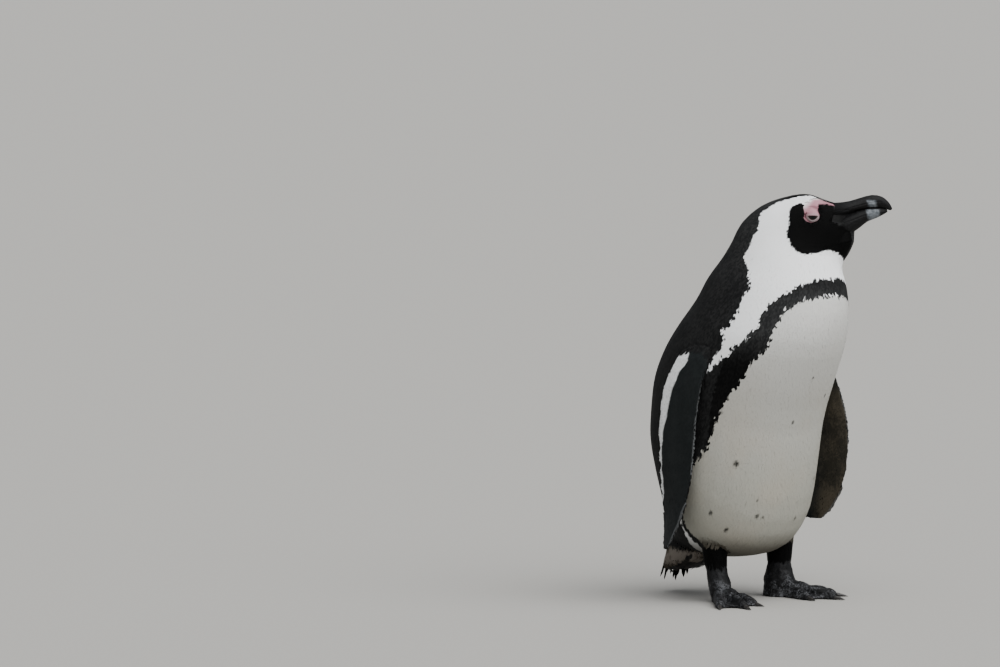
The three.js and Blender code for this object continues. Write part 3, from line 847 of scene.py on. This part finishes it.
def plumage_material():
    """White and black contour feathers, each a little different from its neighbours."""
    material, tree, place = new_material("contour_feathers")
    vary, along = tree.attribute("vary"), tree.attribute("along")
    patchy = tree.noise(place, 45.0, 3.0)
    barbs = tree.noise(place, 2600.0, 2.0)
    up = tree.height(place)
    # The breast and belly are cream, partly their own soiled tone and partly painted shade: darker than the
    # white neck and darker still towards the bottom.
    shaded_cream = up.step(0.10, 0.32).mix((0.36, 0.354, 0.308, 1), (0.60, 0.597, 0.572, 1))
    soiled = tree.noise(place, 16.0, 3.0).step(0.42, 0.7) * up.step(0.34, 0.12)
    shaded_cream = (soiled * 0.35).mix(shaded_cream, (0.42, 0.37, 0.30, 1))
    white = tree.attribute("breast").mix((0.94, 0.95, 0.955, 1), shaded_cream)
    shade = (0.35 * vary + 0.25 * patchy + 0.2 * (1 - along)).step(0.3, 0.95)
    white = (shade * 0.22).mix(white, (0.66, 0.64, 0.59, 1))
    mottle = (0.5 * vary + 0.5 * patchy).step(0.2, 0.9)
    black = mottle.mix((0.001, 0.001, 0.0011, 1), (0.003, 0.0029, 0.0028, 1))
    # A greyer black, for the painted light on the black plumage.
    lit_black = mottle.mix((0.018, 0.0185, 0.019, 1), (0.044, 0.0445, 0.0445, 1))
    black = tree.attribute("worn").mix(black, lit_black)
    brown = (0.5 * vary + 0.5 * patchy).step(0.3, 0.8).mix((0.042, 0.036, 0.027, 1), (0.095, 0.081, 0.06, 1))
    brown = tree.attribute("beige").mix(brown, (0.185, 0.163, 0.142, 1))
    # Dark brown low on the belly and by the legs: partly dirt, partly painted shade.
    white = tree.attribute("soil").mix(white, (0.075, 0.067, 0.053, 1))
    colour = tree.attribute("dark").mix(white, black)
    colour = tree.attribute("brown").mix(colour, brown)
    tree.finish(
        Base_Color=colour,
        Roughness=0.6 + 0.16 * vary,
        Specular_IOR_Level=0.05,
        Normal=tree.bump(barbs, 0.00015, 0.35),
    )
    return material


plumage = plumage_material()
skin_points, skin_normals, skin_corners = points_of(skin), normals_of(skin), triangles_of(skin)
on_body = np.isin(skin_part, (BODY, TAIL))
forward, left, up = head_frame(skin_points)
shoulders = np.isin(skin_part, (WING_LEFT, WING_RIGHT)) & (up > 254)
body_tree = soft_tree(skin, on_body | shoulders | ((skin_part == LEG) & (up > 42)))
TAIL_COVERT_END = 31
HIP = 62
TIP_SHARE = 0.85
lid = (eye_reach(forward, up) < 8.2) & (np.abs(up - eye_height) < 5.0) & (up > 380) & (np.abs(left) > 10)
bare_horn = bare_horn_depth(forward, up)
on_hip = (skin_part == LEG) & (up > HIP)
on_quills = (skin_part == TAIL) & (up < TAIL_COVERT_END)
bald = (bare > 0.45) | lid | (bare_horn > 0.1) | ~(on_body | on_hip) | on_quills
SPACING_HEIGHTS = [40, 90, 300, 345, 372, 400, 440]
SPACINGS = [1.45, 1.4, 1.36, 1.24, 1.1, 1.03, 1.0]
LENGTHS = [13, 11, 10.5, 9, 6.8, 5.4, 5.0]
WIDTHS = [2.8, 2.6, 2.5, 2.2, 1.9, 1.7, 1.6]
FACE_SPACING, FACE_LENGTH, FACE_WIDTH, FACE_LIFT = 0.9, 3.6, 1.4, 0.95
EDGE_WAVER = 0.0040
on_face = (up > 372) & (forward > 12)
spacing = np.where(on_face, FACE_SPACING, np.interp(up, SPACING_HEIGHTS, SPACINGS))
spacing = np.where(bald, 0, spacing)
roots, normals = scatter(skin_corners, spacing)

forward, _, up = head_frame(roots)
face_share = smooth_step(8, 16, forward) * smooth_step(366, 374, up)
length, width, lift = (
    np.interp(up, heights, sizes) * (1 - face_share) + face_size * face_share
    for heights, sizes, face_size in (
        (SPACING_HEIGHTS, LENGTHS, FACE_LENGTH),
        (SPACING_HEIGHTS, WIDTHS, FACE_WIDTH),
        (COAT_HEIGHTS, COAT_DEPTHS, FACE_LIFT),
    )
)
length *= np.interp(eye_reach(forward, up), [8, 16], [0.6, 1])
head_share = smooth_step(348, 385, up)[:, None]
trunk_lie = np.array([0, 0.4, -1.0])
head_lie = -0.8 * np.array(gaze) + np.array([0, 0, -0.6])
lies = trunk_lie * (1 - head_share) + head_lie * head_share
waver = np.array([noise.noise_vector(Vector(root) * 290) for root in roots]) * EDGE_WAVER
waver = (waver + rng.normal(0, 0.0005, roots.shape)) * np.interp(up, [343, 362], [1, 0.4])[:, None]
waver *= smooth_step(120, 160, up)[:, None] * 0.7 + 0.3
headings = unit(lies - normals * (lies * normals).sum(1)[:, None])
tips = roots + headings * (TIP_SHARE * length / 1000)[:, None]
by_wing = (up > 235) & (up < 300)
over = np.full(len(up), 9.0)
over[by_wing] = distances_to(wing_solids, tips[by_wing]) * 1000
lift *= np.interp(over, [2.0, 4.5], [0.45, 1])
low = np.flatnonzero(tips[:, 2] < 0.075)
to_leg = np.full(len(up), 9.0)
to_leg[low] = distances_to(tree_of(LEGS), tips[low]) * 1000
length *= np.interp(to_leg, [2.5, 6], [0.62, 1])
width *= np.interp(to_leg, [2.5, 6], [0.72, 1])
tips = roots + headings * (TIP_SHARE * length / 1000)[:, None]
dark = smooth_step(-0.35, 0.35, in_chunks(black_depth, tips + waver))
angle, up, girth = round_body(tips)
tuft = rng.random(len(up))
breast_edge = np.interp(up, [level for _, level in BAND_INNER], [turn for turn, _ in BAND_INNER]) + 4
# Feathers of the breast and belly take the cream colour, which is partly their own tone and partly painted
# shade.
breast = smooth_step(4, -4, np.abs(angle) - breast_edge) * (up < 325)
forward, left, _ = head_frame(tips)
# How far the black feathers turn greyer: more higher up and where the upper breast band faces the light, as
# painted light; the face's mask and the band beside the flipper keep the darkest black, as painted shade.
worn = np.select(
    [(up > 350) & (forward > 6) & (np.abs(left) > 6), (np.abs(angle) < 66) & (up < 350)],
    [0.0, np.interp(up, [255, 290, 325, 336], [0.08, 0.85, 0.75, 0.4])],
    np.interp(up, [100, 330, 380], [0.36, 0.46, 0.75]),
)
turn = np.abs(angle)
rump = smooth_step(54, 50, up + 4 * tuft) * smooth_step(127, 135, turn + 6 * tuft)
rump *= smooth_step(5, 1, turn - np.interp(up, [24, 32, 38, 50], [172, 172, 166, 152]) + 3 * tuft)
beige = smooth_step(3, -2, np.hypot((turn - 145) * 1.1, up - 43) - 6 - 3 * tuft) * smooth_step(30, 36, up)
second = smooth_step(3, -2, np.hypot((turn - 157) * 0.7, (up - 37) * 1.3) - 5 - 3 * tuft)
beige = np.maximum(beige, 0.8 * second) + 0.3 * (tuft > 0.8)
by_leg = to_leg < 3.5
# Low on the belly and round the tops of the legs the white turns dark brown: partly dirt, partly painted
# shade under the belly and by the legs.
soil = smooth_step(79, 50, up) * 0.85
soil = np.where(by_leg, np.maximum(soil, smooth_step(78, 61, up + 3 * tuft)), soil) * (turn < 100)
dark = np.where(by_leg & (turn < 100), np.maximum(dark, smooth_step(57, 53, up + 4 * tuft)), dark)
angle, up, girth = round_body(roots)
turned = angle / 360 + 0.5
unrolled = up - smooth_step(110, 60, up) * 0.8 * (85 - girth) + smooth_step(385, 410, up) * 0.8 * (35 - girth)
pieces = np.select(
    [up > 375, up > 300, (np.abs(angle) < 62), angle > 128, angle < -128, angle > 0],
    [0, 1, 2, 3, 4, 5],
    6,
)
clear = in_chunks(bare_depth, tips) < 0.5
marks = {"dark": dark, "brown": rump, "beige": beige, "breast": breast, "worn": worn, "soil": soil}
PIECES = ["head", "neck", "breast", "back_left", "back_right", "flank_left", "flank_right"]
for index, part in enumerate(PIECES):
    mine = (pieces == index) & clear
    sizes = (rows[mine] for rows in (roots, normals, lies, length, width, lift))
    unwrapped = np.stack([spread(turned[mine]), spread(unrolled[mine])], 1)
    kept_marks = {name: values[mine] for name, values in marks.items()}
    coat = grow(f"coat_{part}", body_tree, *sizes, unwrapped, kept_marks)
    spotted = smooth_step(-0.7, 1.0, spot_depth(points_of(coat))) * 0.93
    set_attribute(coat, "dark", np.maximum(np.repeat(dark[mine], 8), spotted))
    settle(coat, "plumage", plumage)

# ---- Flipper coat
# The flippers are stiff blades clad in feathers as small as scales, slate above, with a white border
# on the trailing edge and a thin pale line in front. Beneath they are dark brown, partly stained and partly
# painted shade.
FLIPPER_VANE = [(0.45, 0.5, 0.6), (0.8, 0.44, 0.9)]


def flipper_material():
    material, tree, place = new_material("flipper_feathers")
    vary, along = tree.attribute("vary"), tree.attribute("along")
    patchy = tree.noise(place, 60.0, 4.0)
    slate = (0.3 * vary + 0.7 * patchy).step(0.25, 0.85)
    slate = slate.mix((0.0065, 0.0085, 0.009, 1), (0.0135, 0.016, 0.0165, 1))
    white = (0.6 * vary + 0.4 * (1 - along)).step(0.2, 1.0).mix((0.78, 0.79, 0.79, 1), (0.55, 0.56, 0.56, 1))
    # Dark brown for the flippers' undersides: partly stain, partly painted shade.
    brown = (0.15 * vary + 0.85 * tree.noise(place, 34.0, 3.0)).step(0.36, 0.66)
    brown = brown.mix((0.026, 0.0235, 0.018, 1), (0.074, 0.063, 0.045, 1))
    colour = tree.attribute("brown").mix(slate, brown)
    colour = tree.attribute("front").mix(colour, (0.15, 0.155, 0.16, 1))
    colour = tree.attribute("dark").mix(white, colour)
    fine = tree.noise(place, 2600.0, 2.0)
    tree.finish(
        Base_Color=colour,
        Roughness=0.55 + 0.14 * vary,
        Specular_IOR_Level=0.14,
        Normal=tree.bump(fine, 0.00012, 0.3),
    )
    return material


# Width of the pale line along the leading edge, in millimetres, and how strong it is, by height.
FRONT_LINE = ([56, 70, 98, 112, 134, 150, 210, 236, 248], [4.5, 5.5, 4, 0, 0, 0.9, 0.8, 0.3, -1])
FRONT_STRENGTH = ([60, 110, 150, 210, 236], [0.6, 0.5, 0.75, 0.5, 0.2])
FLIPPER_LIFT = 0.5
slate_plumage = flipper_material()
for part, side in ((WING_LEFT, "left"), (WING_RIGHT, "right")):
    lines, mine = wing_lines[part], skin_part == part
    trailing, leading = on_flipper(skin_points, lines)[:2]
    spacing = np.where(mine, np.where(np.minimum(trailing, leading) < 5, 1.05, 1.25), 0)
    roots, normals = scatter(skin_corners, spacing)
    trailing, leading, up, outer = on_flipper(roots, lines)
    above = [np.interp(up, lines[:, 0], lines[:, k]) for k in (1, 2)]
    below = [np.interp(up - 12, lines[:, 0], lines[:, k]) for k in (1, 2)]
    down = np.stack([below[0] - above[0], above[1] - below[1], np.full(len(up), -12.0)], 1)
    back = np.stack([-np.interp(up, lines[:, 0], lines[:, 3]), np.interp(up, lines[:, 0], lines[:, 4])], 1)
    lies = unit(down) + 0.3 * np.concatenate([back, np.zeros((len(up), 1))], 1)
    edge = smooth_step(5, 1, np.minimum(trailing, leading))
    length = np.interp(up, [60, 120, 250], [3.6, 4.6, 6.0]) * (1 - 0.25 * edge)
    outward = np.stack([back[:, 1], -back[:, 0]], 1) * np.sign(lines[0, 1])
    beneath = (normals[:, :2] * outward).sum(1) < -0.2
    chord_share = trailing / (trailing + leading)
    # Beneath, the flipper turns dark brown: partly stain, partly painted shade.
    brown = beneath * smooth_step(245, 200, up) * smooth_step(0.12, 0.7, chord_share)
    turned = np.where(outer > 0, 0.0, 0.5) + 0.5 * spread(chord_share, 0.02, 0.98)
    marks = {"dark": np.ones(len(up)), "brown": brown, "front": np.zeros(len(up))}
    coat = grow(
        f"coat_flipper_{side}", soft_tree(skin, mine), roots, normals, lies, length, 0.42 * length,
        np.full(len(up), FLIPPER_LIFT), np.stack([turned, spread(up)], 1), marks, FLIPPER_VANE,
    )
    finished = points_of(coat)
    trailing, leading, up, outer = on_flipper(finished, lines)
    front = smooth_step(0.4, -0.4, leading - np.interp(up, *FRONT_LINE)) * (outer > -2.5)
    front *= np.interp(up, *FRONT_STRENGTH)
    set_attribute(coat, "front", front)
    set_attribute(coat, "dark", smooth_step(0.35, -0.35, flipper_pale(finished, lines)))
    settle(coat, "flipper", slate_plumage)

# ---- Tail
# A short stiff tail of black quills, worn to ragged points, fans out in an upper and an under layer
# beneath soft coverts. Each quill is a long blade with a raised shaft.
QUILL_VANE = [(0.1, 0.34, 0.35), (0.3, 0.46, 0.8), (0.55, 0.5, 1.0), (0.78, 0.45, 1.0), (0.94, 0.27, 1.0)]
tail_low, tail_high = (np.array(corner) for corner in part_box("tail"))


def quill_material():
    material, tree, place = new_material("tail_quills")
    vary, along = tree.attribute("vary"), tree.attribute("along")
    streak = tree.noise(place, 420.0, 4.0)
    colour = (0.5 * vary + 0.5 * streak).step(0.2, 0.8)
    colour = colour.mix((0.005, 0.0046, 0.0042, 1), (0.018, 0.016, 0.014, 1))
    worn = (along - 0.3 * streak).step(0.66, 0.85)
    colour = (worn * 0.6).mix(colour, (0.06, 0.051, 0.041, 1))
    tree.finish(
        Base_Color=colour,
        Roughness=0.5 + 0.2 * streak,
        Specular_IOR_Level=0.25,
        Normal=tree.bump(streak, 0.0003, 0.5),
    )
    return material


# Each layer has its count, its start (back and up), its way down, its length and its half spread.
# Shorter quills hang along both sides, over the slope of the tail's lower rim.
QUILL_LAYERS = [
    (20, tail_high[1] + 0.004, 0.074, (0.26, -1.0), 53, 0.021),
    (22, tail_low[1] + 0.009, 0.034, (0.72, -0.70), 25, 0.025),
]
RIM_BACK = [0, 0.007, 0.013, 0.019, 0.034]
RIM_UP = [0.043, 0.036, 0.029, 0.024, 0.018]
SIDE_QUILLS = 24
fans, starts, lies, length, width, lift = [], [], [], [], [], []
for count, back, rise, (trail, drop), reach, half in QUILL_LAYERS:
    fan = np.linspace(-1, 1, count) + rng.normal(0, 0.02, count)
    fans.append(fan)
    across = (tail_low[0] + tail_high[0]) / 2 + fan * half
    starts.append(np.stack([across, np.full(count, back), rise - 0.004 * np.abs(fan)], 1))
    lies.append(np.stack([fan * 0.16, np.full(count, trail), np.full(count, drop)], 1))
    length.append(reach - 3 * np.abs(fan) + rng.normal(0, 2.8, count))
    lift.append(0.9 + 0.7 * (np.arange(count) % 2))
    width.append(np.full(count, 5.2))
for side in (tail_low[0], tail_high[0]):
    back = np.linspace(0.004, 0.053, SIDE_QUILLS) + rng.normal(0, 0.0016, SIDE_QUILLS)
    rim = np.interp(back, RIM_BACK, RIM_UP)
    fans.append(np.zeros(SIDE_QUILLS))
    rise = rim + np.interp(back, [0.006, 0.024], [0.003, 0.009]) + 0.004 * rng.random(SIDE_QUILLS)
    starts.append(np.stack([np.full(SIDE_QUILLS, side), tail_low[1] + back, rise], 1))
    lies.append(np.tile([0.1 * np.sign(side - tail_low[0] - 0.01), 0.16, -1.0], (SIDE_QUILLS, 1)))
    length.append(np.interp(back, [0.004, 0.02], [11, 19]) + rng.normal(0, 2.4, SIDE_QUILLS))
    lift.append(0.6 + 0.5 * (np.arange(SIDE_QUILLS) % 2))
    width.append(np.full(SIDE_QUILLS, 3.6))
fan = np.concatenate(fans)
tail_tree = soft_tree(skin, skin_part == TAIL)
roots, normals = lay_on(tail_tree, np.concatenate(starts))
quills = grow(
    "tail_quills", tail_tree, roots, normals, np.concatenate(lies), np.concatenate(length),
    np.concatenate(width), np.concatenate(lift) + 1.3,
    np.stack([0.02 + 0.96 * np.arange(len(fan)) / len(fan), np.full(len(fan), 0.5)], 1),
    {"dark": np.ones(len(fan))}, QUILL_VANE, 0.07, 0.5,
)
settle(quills, "plumage", quill_material())

# ---- Bill
# Two horny halves, black and glossy with age lines, a grey bar before the hooked tip, a slit of a
# nostril and a groove along each side. The halves close on a dark seam.
HORN_VOXEL = 0.00045
SEAM_RISE = 0.0007
SIDE_GROOVE = ([60, 70, 80, 92, 104, 112], [411.8, 413.2, 415.6, 418.6, 420.8, 420.4])
LOWER_GROOVE = ([62, 78, 92, 104], [396.5, 401.5, 406.4, 408.6])
UPPER_SEAM = ([56, 64, 78, 90, 102, 110, 118], [399.6, 403.6, 409.3, 412.7, 414.4, 414.0, 411.8])
LOWER_SEAM = ([53, 64, 78, 90, 102, 110, 116], [398.5, 403.2, 408.9, 412.3, 414, 413.6, 412.1])
# The nostril's place forward and up, its half length and half height, and its tilt.
NOSTRIL = (72.5, 412.4, 3.4, 0.75, radians(13))


def horn_half(node):
    """A smooth fine copy of one half of the bill, or of a claw."""
    piece = copy_of([node])
    apply_modifier(piece, "REMESH", mode="VOXEL", voxel_size=HORN_VOXEL)
    apply_modifier(piece, "SMOOTH", factor=0.5, iterations=10)
    bpy.ops.object.shade_smooth()
    return piece


def line_dent(forward, up, line, width):
    """How much of a groove's depth a point has, by its height over or under the groove's line."""
    return np.exp(-(((up - np.interp(forward, *line)) / width) ** 2))


def bill_material():
    material, tree, place = new_material("bill_horn")
    arm = tree.vector_math("SUBTRACT", place, tuple(pivot))
    ahead = tree.vector_math("DOT_PRODUCT", arm, tuple(gaze), out=1) * 1000
    up = tree.height(place) * 1000
    cloudy = tree.noise(place, 260.0, 4.0)
    wobble = (cloudy - 0.5) * 5.0
    slant = ahead + 0.6 * wobble + 0.25 * (up - 414.0)
    upper = slant.step(94.5, 97.5) * slant.step(107.0, 103.0)
    upper = upper * (up + 0.3 * wobble).step(414.6, 416.2) * (up + 0.4 * wobble).step(423.6, 421.2)
    lower = slant.step(91.5, 94.5) * (ahead + wobble).step(109.5, 105.5) * up.step(413.4, 412.2)
    along_bill = {"Vector": arm, "Rotation": (0, 0, 0.785), "Scale": (1, 0.18, 1)}
    stretched = tree.node("ShaderNodeMapping", None, along_bill)
    streaks = tree.noise(stretched, 900.0, 5.0)
    horn = streaks.step(0.35, 0.75).mix((0.0025, 0.0025, 0.0028, 1), (0.011, 0.011, 0.0115, 1))
    horn = ahead.step(76.0, 60.0).mix(horn, (0.0022, 0.0022, 0.0023, 1))
    grey = cloudy.step(0.3, 0.7).mix((0.075, 0.085, 0.095, 1), (0.20, 0.217, 0.235, 1))
    gape = (ahead - 0.5 * wobble).step(63.5, 59.5) * (up + 0.3 * wobble).step(399.5, 401.5)
    gape = gape * up.step(407.0, 404.5)
    colour = tree.math("MAXIMUM", upper, lower).mix(horn, grey)
    colour = (gape * 0.25).mix(colour, (0.03, 0.018, 0.018, 1))
    tree.finish(
        Base_Color=colour,
        Roughness=0.52 + 0.2 * streaks + 0.22 * ahead.step(80.0, 64.0),
        Specular_IOR_Level=0.16,
        Normal=tree.bump(streaks + 0.4 * cloudy, 0.0003, 0.55),
    )
    return material


horn = bill_material()
for half in ("bill_upper", "bill_lower"):
    piece = horn_half(half)
    piece.name = half.replace("bill", "horn")
    points = points_of(piece)
    forward, left, up = head_frame(points)
    facing = normals_of(piece)
    sideways = smooth_step(0.25, 0.6, np.abs(facing @ np.array([cos(HEAD_TURN), sin(HEAD_TURN), 0])))
    if half == "bill_upper":
        ahead, high, half_length, half_height, tilt = NOSTRIL
        u = (forward - ahead) * cos(tilt) + (up - high) * sin(tilt)
        v = (up - high) * cos(tilt) - (forward - ahead) * sin(tilt)
        dent = 0.38 * line_dent(forward, up, SIDE_GROOVE, 0.55) * smooth_step(112, 104, forward)
        dent += 1.0 * smooth_step(1.25, 0.6, np.hypot(u / half_length, v / half_height))
        dent += 0.22 * np.exp(-(((forward - 108 - 0.25 * (up - 418)) / 0.6) ** 2))
        seam = np.interp(forward, *UPPER_SEAM)
        dent -= 0.3 * np.exp(-(((up - seam - 0.9) / 0.6) ** 2))
    else:
        dent = 0.34 * line_dent(forward, up, LOWER_GROOVE, 0.6) * smooth_step(108, 100, forward)
        seam = np.interp(forward, *LOWER_SEAM)
        dent -= 0.22 * np.exp(-(((up - seam + 0.8) / 0.6) ** 2))
    points -= facing * (dent * sideways / 1000)[:, None]
    if half == "bill_lower":
        at_seam = smooth_step(2.5, 0.5, np.abs(up - seam))
        points[:, 2] += SEAM_RISE * smooth_step(0.3, 0.8, facing[:, 2]) * at_seam
    move_points(piece, points)
    settle(piece, "horn", horn, half)

# ---- Feet
# Black leathery feet with grey patches, most of them low on the toes: small scales over the shanks and toes,
# smaller ones on the webs, ragged thigh feathers above, and blunt black claws.
SCALE_VANE = [(0.3, 0.52, 0.9), (0.72, 0.5, 1.0)]
TOE_LIE = np.array([0, -1.0, -0.9])
SHANK_START = 0.024
THIGH_HEIGHTS, THIGH_LENGTHS, THIGH_LIFTS = [38, 60], [6.0, 9.5], [0.8, 1.5]


def scale_material():
    material, tree, place = new_material("foot_scales")
    vary = tree.attribute("vary")
    patchy = tree.noise(place, 78.0, 3.0)
    # Grey patches, more of them low on the toes.
    low = tree.height(place).step(0.031, 0.012)
    worn = (0.2 * vary + 0.9 * patchy).step(0.46, 0.8) * (0.08 + 0.92 * low)
    colour = worn.mix((0.0035, 0.0035, 0.004, 1), (0.105, 0.108, 0.116, 1))
    tree.finish(
        Base_Color=colour,
        Roughness=0.48 + 0.25 * vary,
        Specular_IOR_Level=0.22,
        Normal=tree.bump(tree.noise(place, 1800.0), 0.0002, 0.4),
    )
    return material


def claw_material():
    material, tree, place = new_material("claw_horn")
    streaks = tree.noise(place, 700.0, 4.0)
    colour = streaks.step(0.3, 0.75).mix((0.006, 0.006, 0.006, 1), (0.045, 0.040, 0.037, 1))
    tree.finish(Base_Color=colour, Roughness=0.3 + 0.25 * streaks, Normal=tree.bump(streaks, 0.0002, 0.5))
    return material


scales, claws = scale_material(), claw_material()
on_foot = (skin_part == LEG) & (skin_points[:, 2] > 0.0018) & (skin_normals[:, 2] > -0.55)
foot_middles = {side: middle(f"leg_{side}").x for side in ("left", "right")}
for side, place_x in foot_middles.items():
    other_x = foot_middles["left" if side == "right" else "right"]
    nearer = np.abs(skin_points[:, 0] - place_x) < np.abs(skin_points[:, 0] - other_x)
    mine = on_foot & nearer
    shank = skin_points[:, 2] > SHANK_START
    spacing = np.where(mine & (skin_points[:, 2] < 0.056), np.where(shank, 1.6, 1.35), 0)
    roots, normals = scatter(skin_corners, spacing)
    leg_tree = soft_tree(skin, (skin_part == LEG) & nearer)
    size = np.where(roots[:, 2] > SHANK_START, 2.7, 2.2)
    turned = np.arctan2(roots[:, 0] - place_x, -roots[:, 1] + roots[:, 1].mean())
    flat = roots[:, 2] < 0.022
    unwrapped = np.where(
        flat[:, None],
        np.stack([spread(roots[:, 0], 0.02, 0.62), spread(roots[:, 1])], 1),
        np.stack([0.66 + 0.32 * (turned / 6.2832 + 0.5), spread(roots[:, 2])], 1),
    )
    piece = grow(
        f"scales_foot_{side}", leg_tree, roots, normals, np.tile(TOE_LIE, (len(roots), 1)), size, 0.8 * size,
        np.full(len(roots), 0.3), unwrapped, {"dark": np.ones(len(roots))}, SCALE_VANE, 0.09,
    )
    settle(piece, "foot_skin", scales)

    thigh = (skin_part == LEG) & nearer & (skin_points[:, 2] > 0.036) & (skin_points[:, 2] < 0.066)
    roots, normals = scatter(skin_corners, np.where(thigh, 1.5, 0))
    kept = roots[:, 2] * 1000 > 38 + 9 * rng.random(len(roots))
    roots, normals = roots[kept], normals[kept]
    up = roots[:, 2] * 1000
    unwrapped = np.stack([spread(np.arctan2(roots[:, 0] - place_x, roots[:, 1])), spread(up)], 1)
    piece = grow(
        f"coat_thigh_{side}", leg_tree, roots, normals, np.tile([0, 0.1, -1.0], (len(roots), 1)),
        np.interp(up, THIGH_HEIGHTS, THIGH_LENGTHS), np.full(len(up), 2.1),
        np.interp(up, THIGH_HEIGHTS, THIGH_LIFTS), unwrapped,
        {"dark": np.ones(len(up)), "brown": np.zeros(len(up))},
    )
    settle(piece, "plumage", plumage)
    for toe in ("inner", "middle", "outer"):
        claw = horn_half(f"claw_{side}_{toe}")
        claw.name = f"claw_{toe}_{side}"
        settle(claw, "claw", claws, f"claw_{side}_{toe}")

# ---- Floor, light and camera
# A plain pale floor that runs on past the view, a wide soft sky with its brightest part above and
# to the left, and a long lens a little above the bird's middle.
VIEW_FLAT = Vector((1, 1, 0)).normalized()
VIEW_DIP = radians(4)
CAMERA_DISTANCE = 5.83
FRAME_WIDTH = 1.05
TARGET_ASIDE = -0.28875
TARGET_UP = 0.281925

bpy.ops.mesh.primitive_circle_add(vertices=96, radius=400, fill_type="NGON", location=(0, 0, 0))
floor = bpy.context.object
floor.name = "floor"
material, tree, place = new_material("pale_floor")
grain = tree.noise(place, 260.0, 4.0)
tree.finish(
    Base_Color=grain.mix((0.33, 0.32, 0.30, 1), (0.38, 0.37, 0.345, 1)),
    Roughness=0.9,
    Normal=tree.bump(grain, 0.0004, 0.3),
)
floor.data.materials.append(material)

world = bpy.data.worlds.new("soft_sky")
bpy.context.scene.world = world
world.use_nodes = True
world.node_tree.nodes["Background"].inputs["Color"].default_value = (0.93, 0.96, 1.0, 1)
world.node_tree.nodes["Background"].inputs["Strength"].default_value = 0.46

view_ahead = VIEW_FLAT * cos(VIEW_DIP) - Vector((0, 0, sin(VIEW_DIP)))
view_aside = Vector((VIEW_FLAT.y, -VIEW_FLAT.x, 0))
view_up = view_aside.cross(view_ahead)


def lamp(name, aside, toward, up, strength, angle):
    """A far soft light that shines on the bird from beside, before and above, as the camera sees it."""
    data = bpy.data.lights.new(name, "SUN")
    data.energy, data.angle = strength, radians(angle)
    made = bpy.data.objects.new(name, data)
    bpy.context.scene.collection.objects.link(made)
    heading = view_aside * aside - VIEW_FLAT * toward + Vector((0, 0, up))
    made.rotation_euler = heading.to_track_quat("Z", "Y").to_euler()


lamp("sky_key", 0.4, 0.45, 1.0, 4.5, 70)
lamp("sky_fill", 0.7, 0.7, 0.7, 0.4, 80)

target = pivot + view_aside * TARGET_ASIDE + view_up * TARGET_UP
camera_data = bpy.data.cameras.new("camera")
camera_data.sensor_width = 36
camera_data.lens = 36 * CAMERA_DISTANCE / FRAME_WIDTH
camera = bpy.data.objects.new("camera", camera_data)
camera.location = target - view_ahead * CAMERA_DISTANCE
camera.rotation_euler = (-view_ahead).to_track_quat("Z", "Y").to_euler()
bpy.context.scene.collection.objects.link(camera)
bpy.context.scene.camera = camera
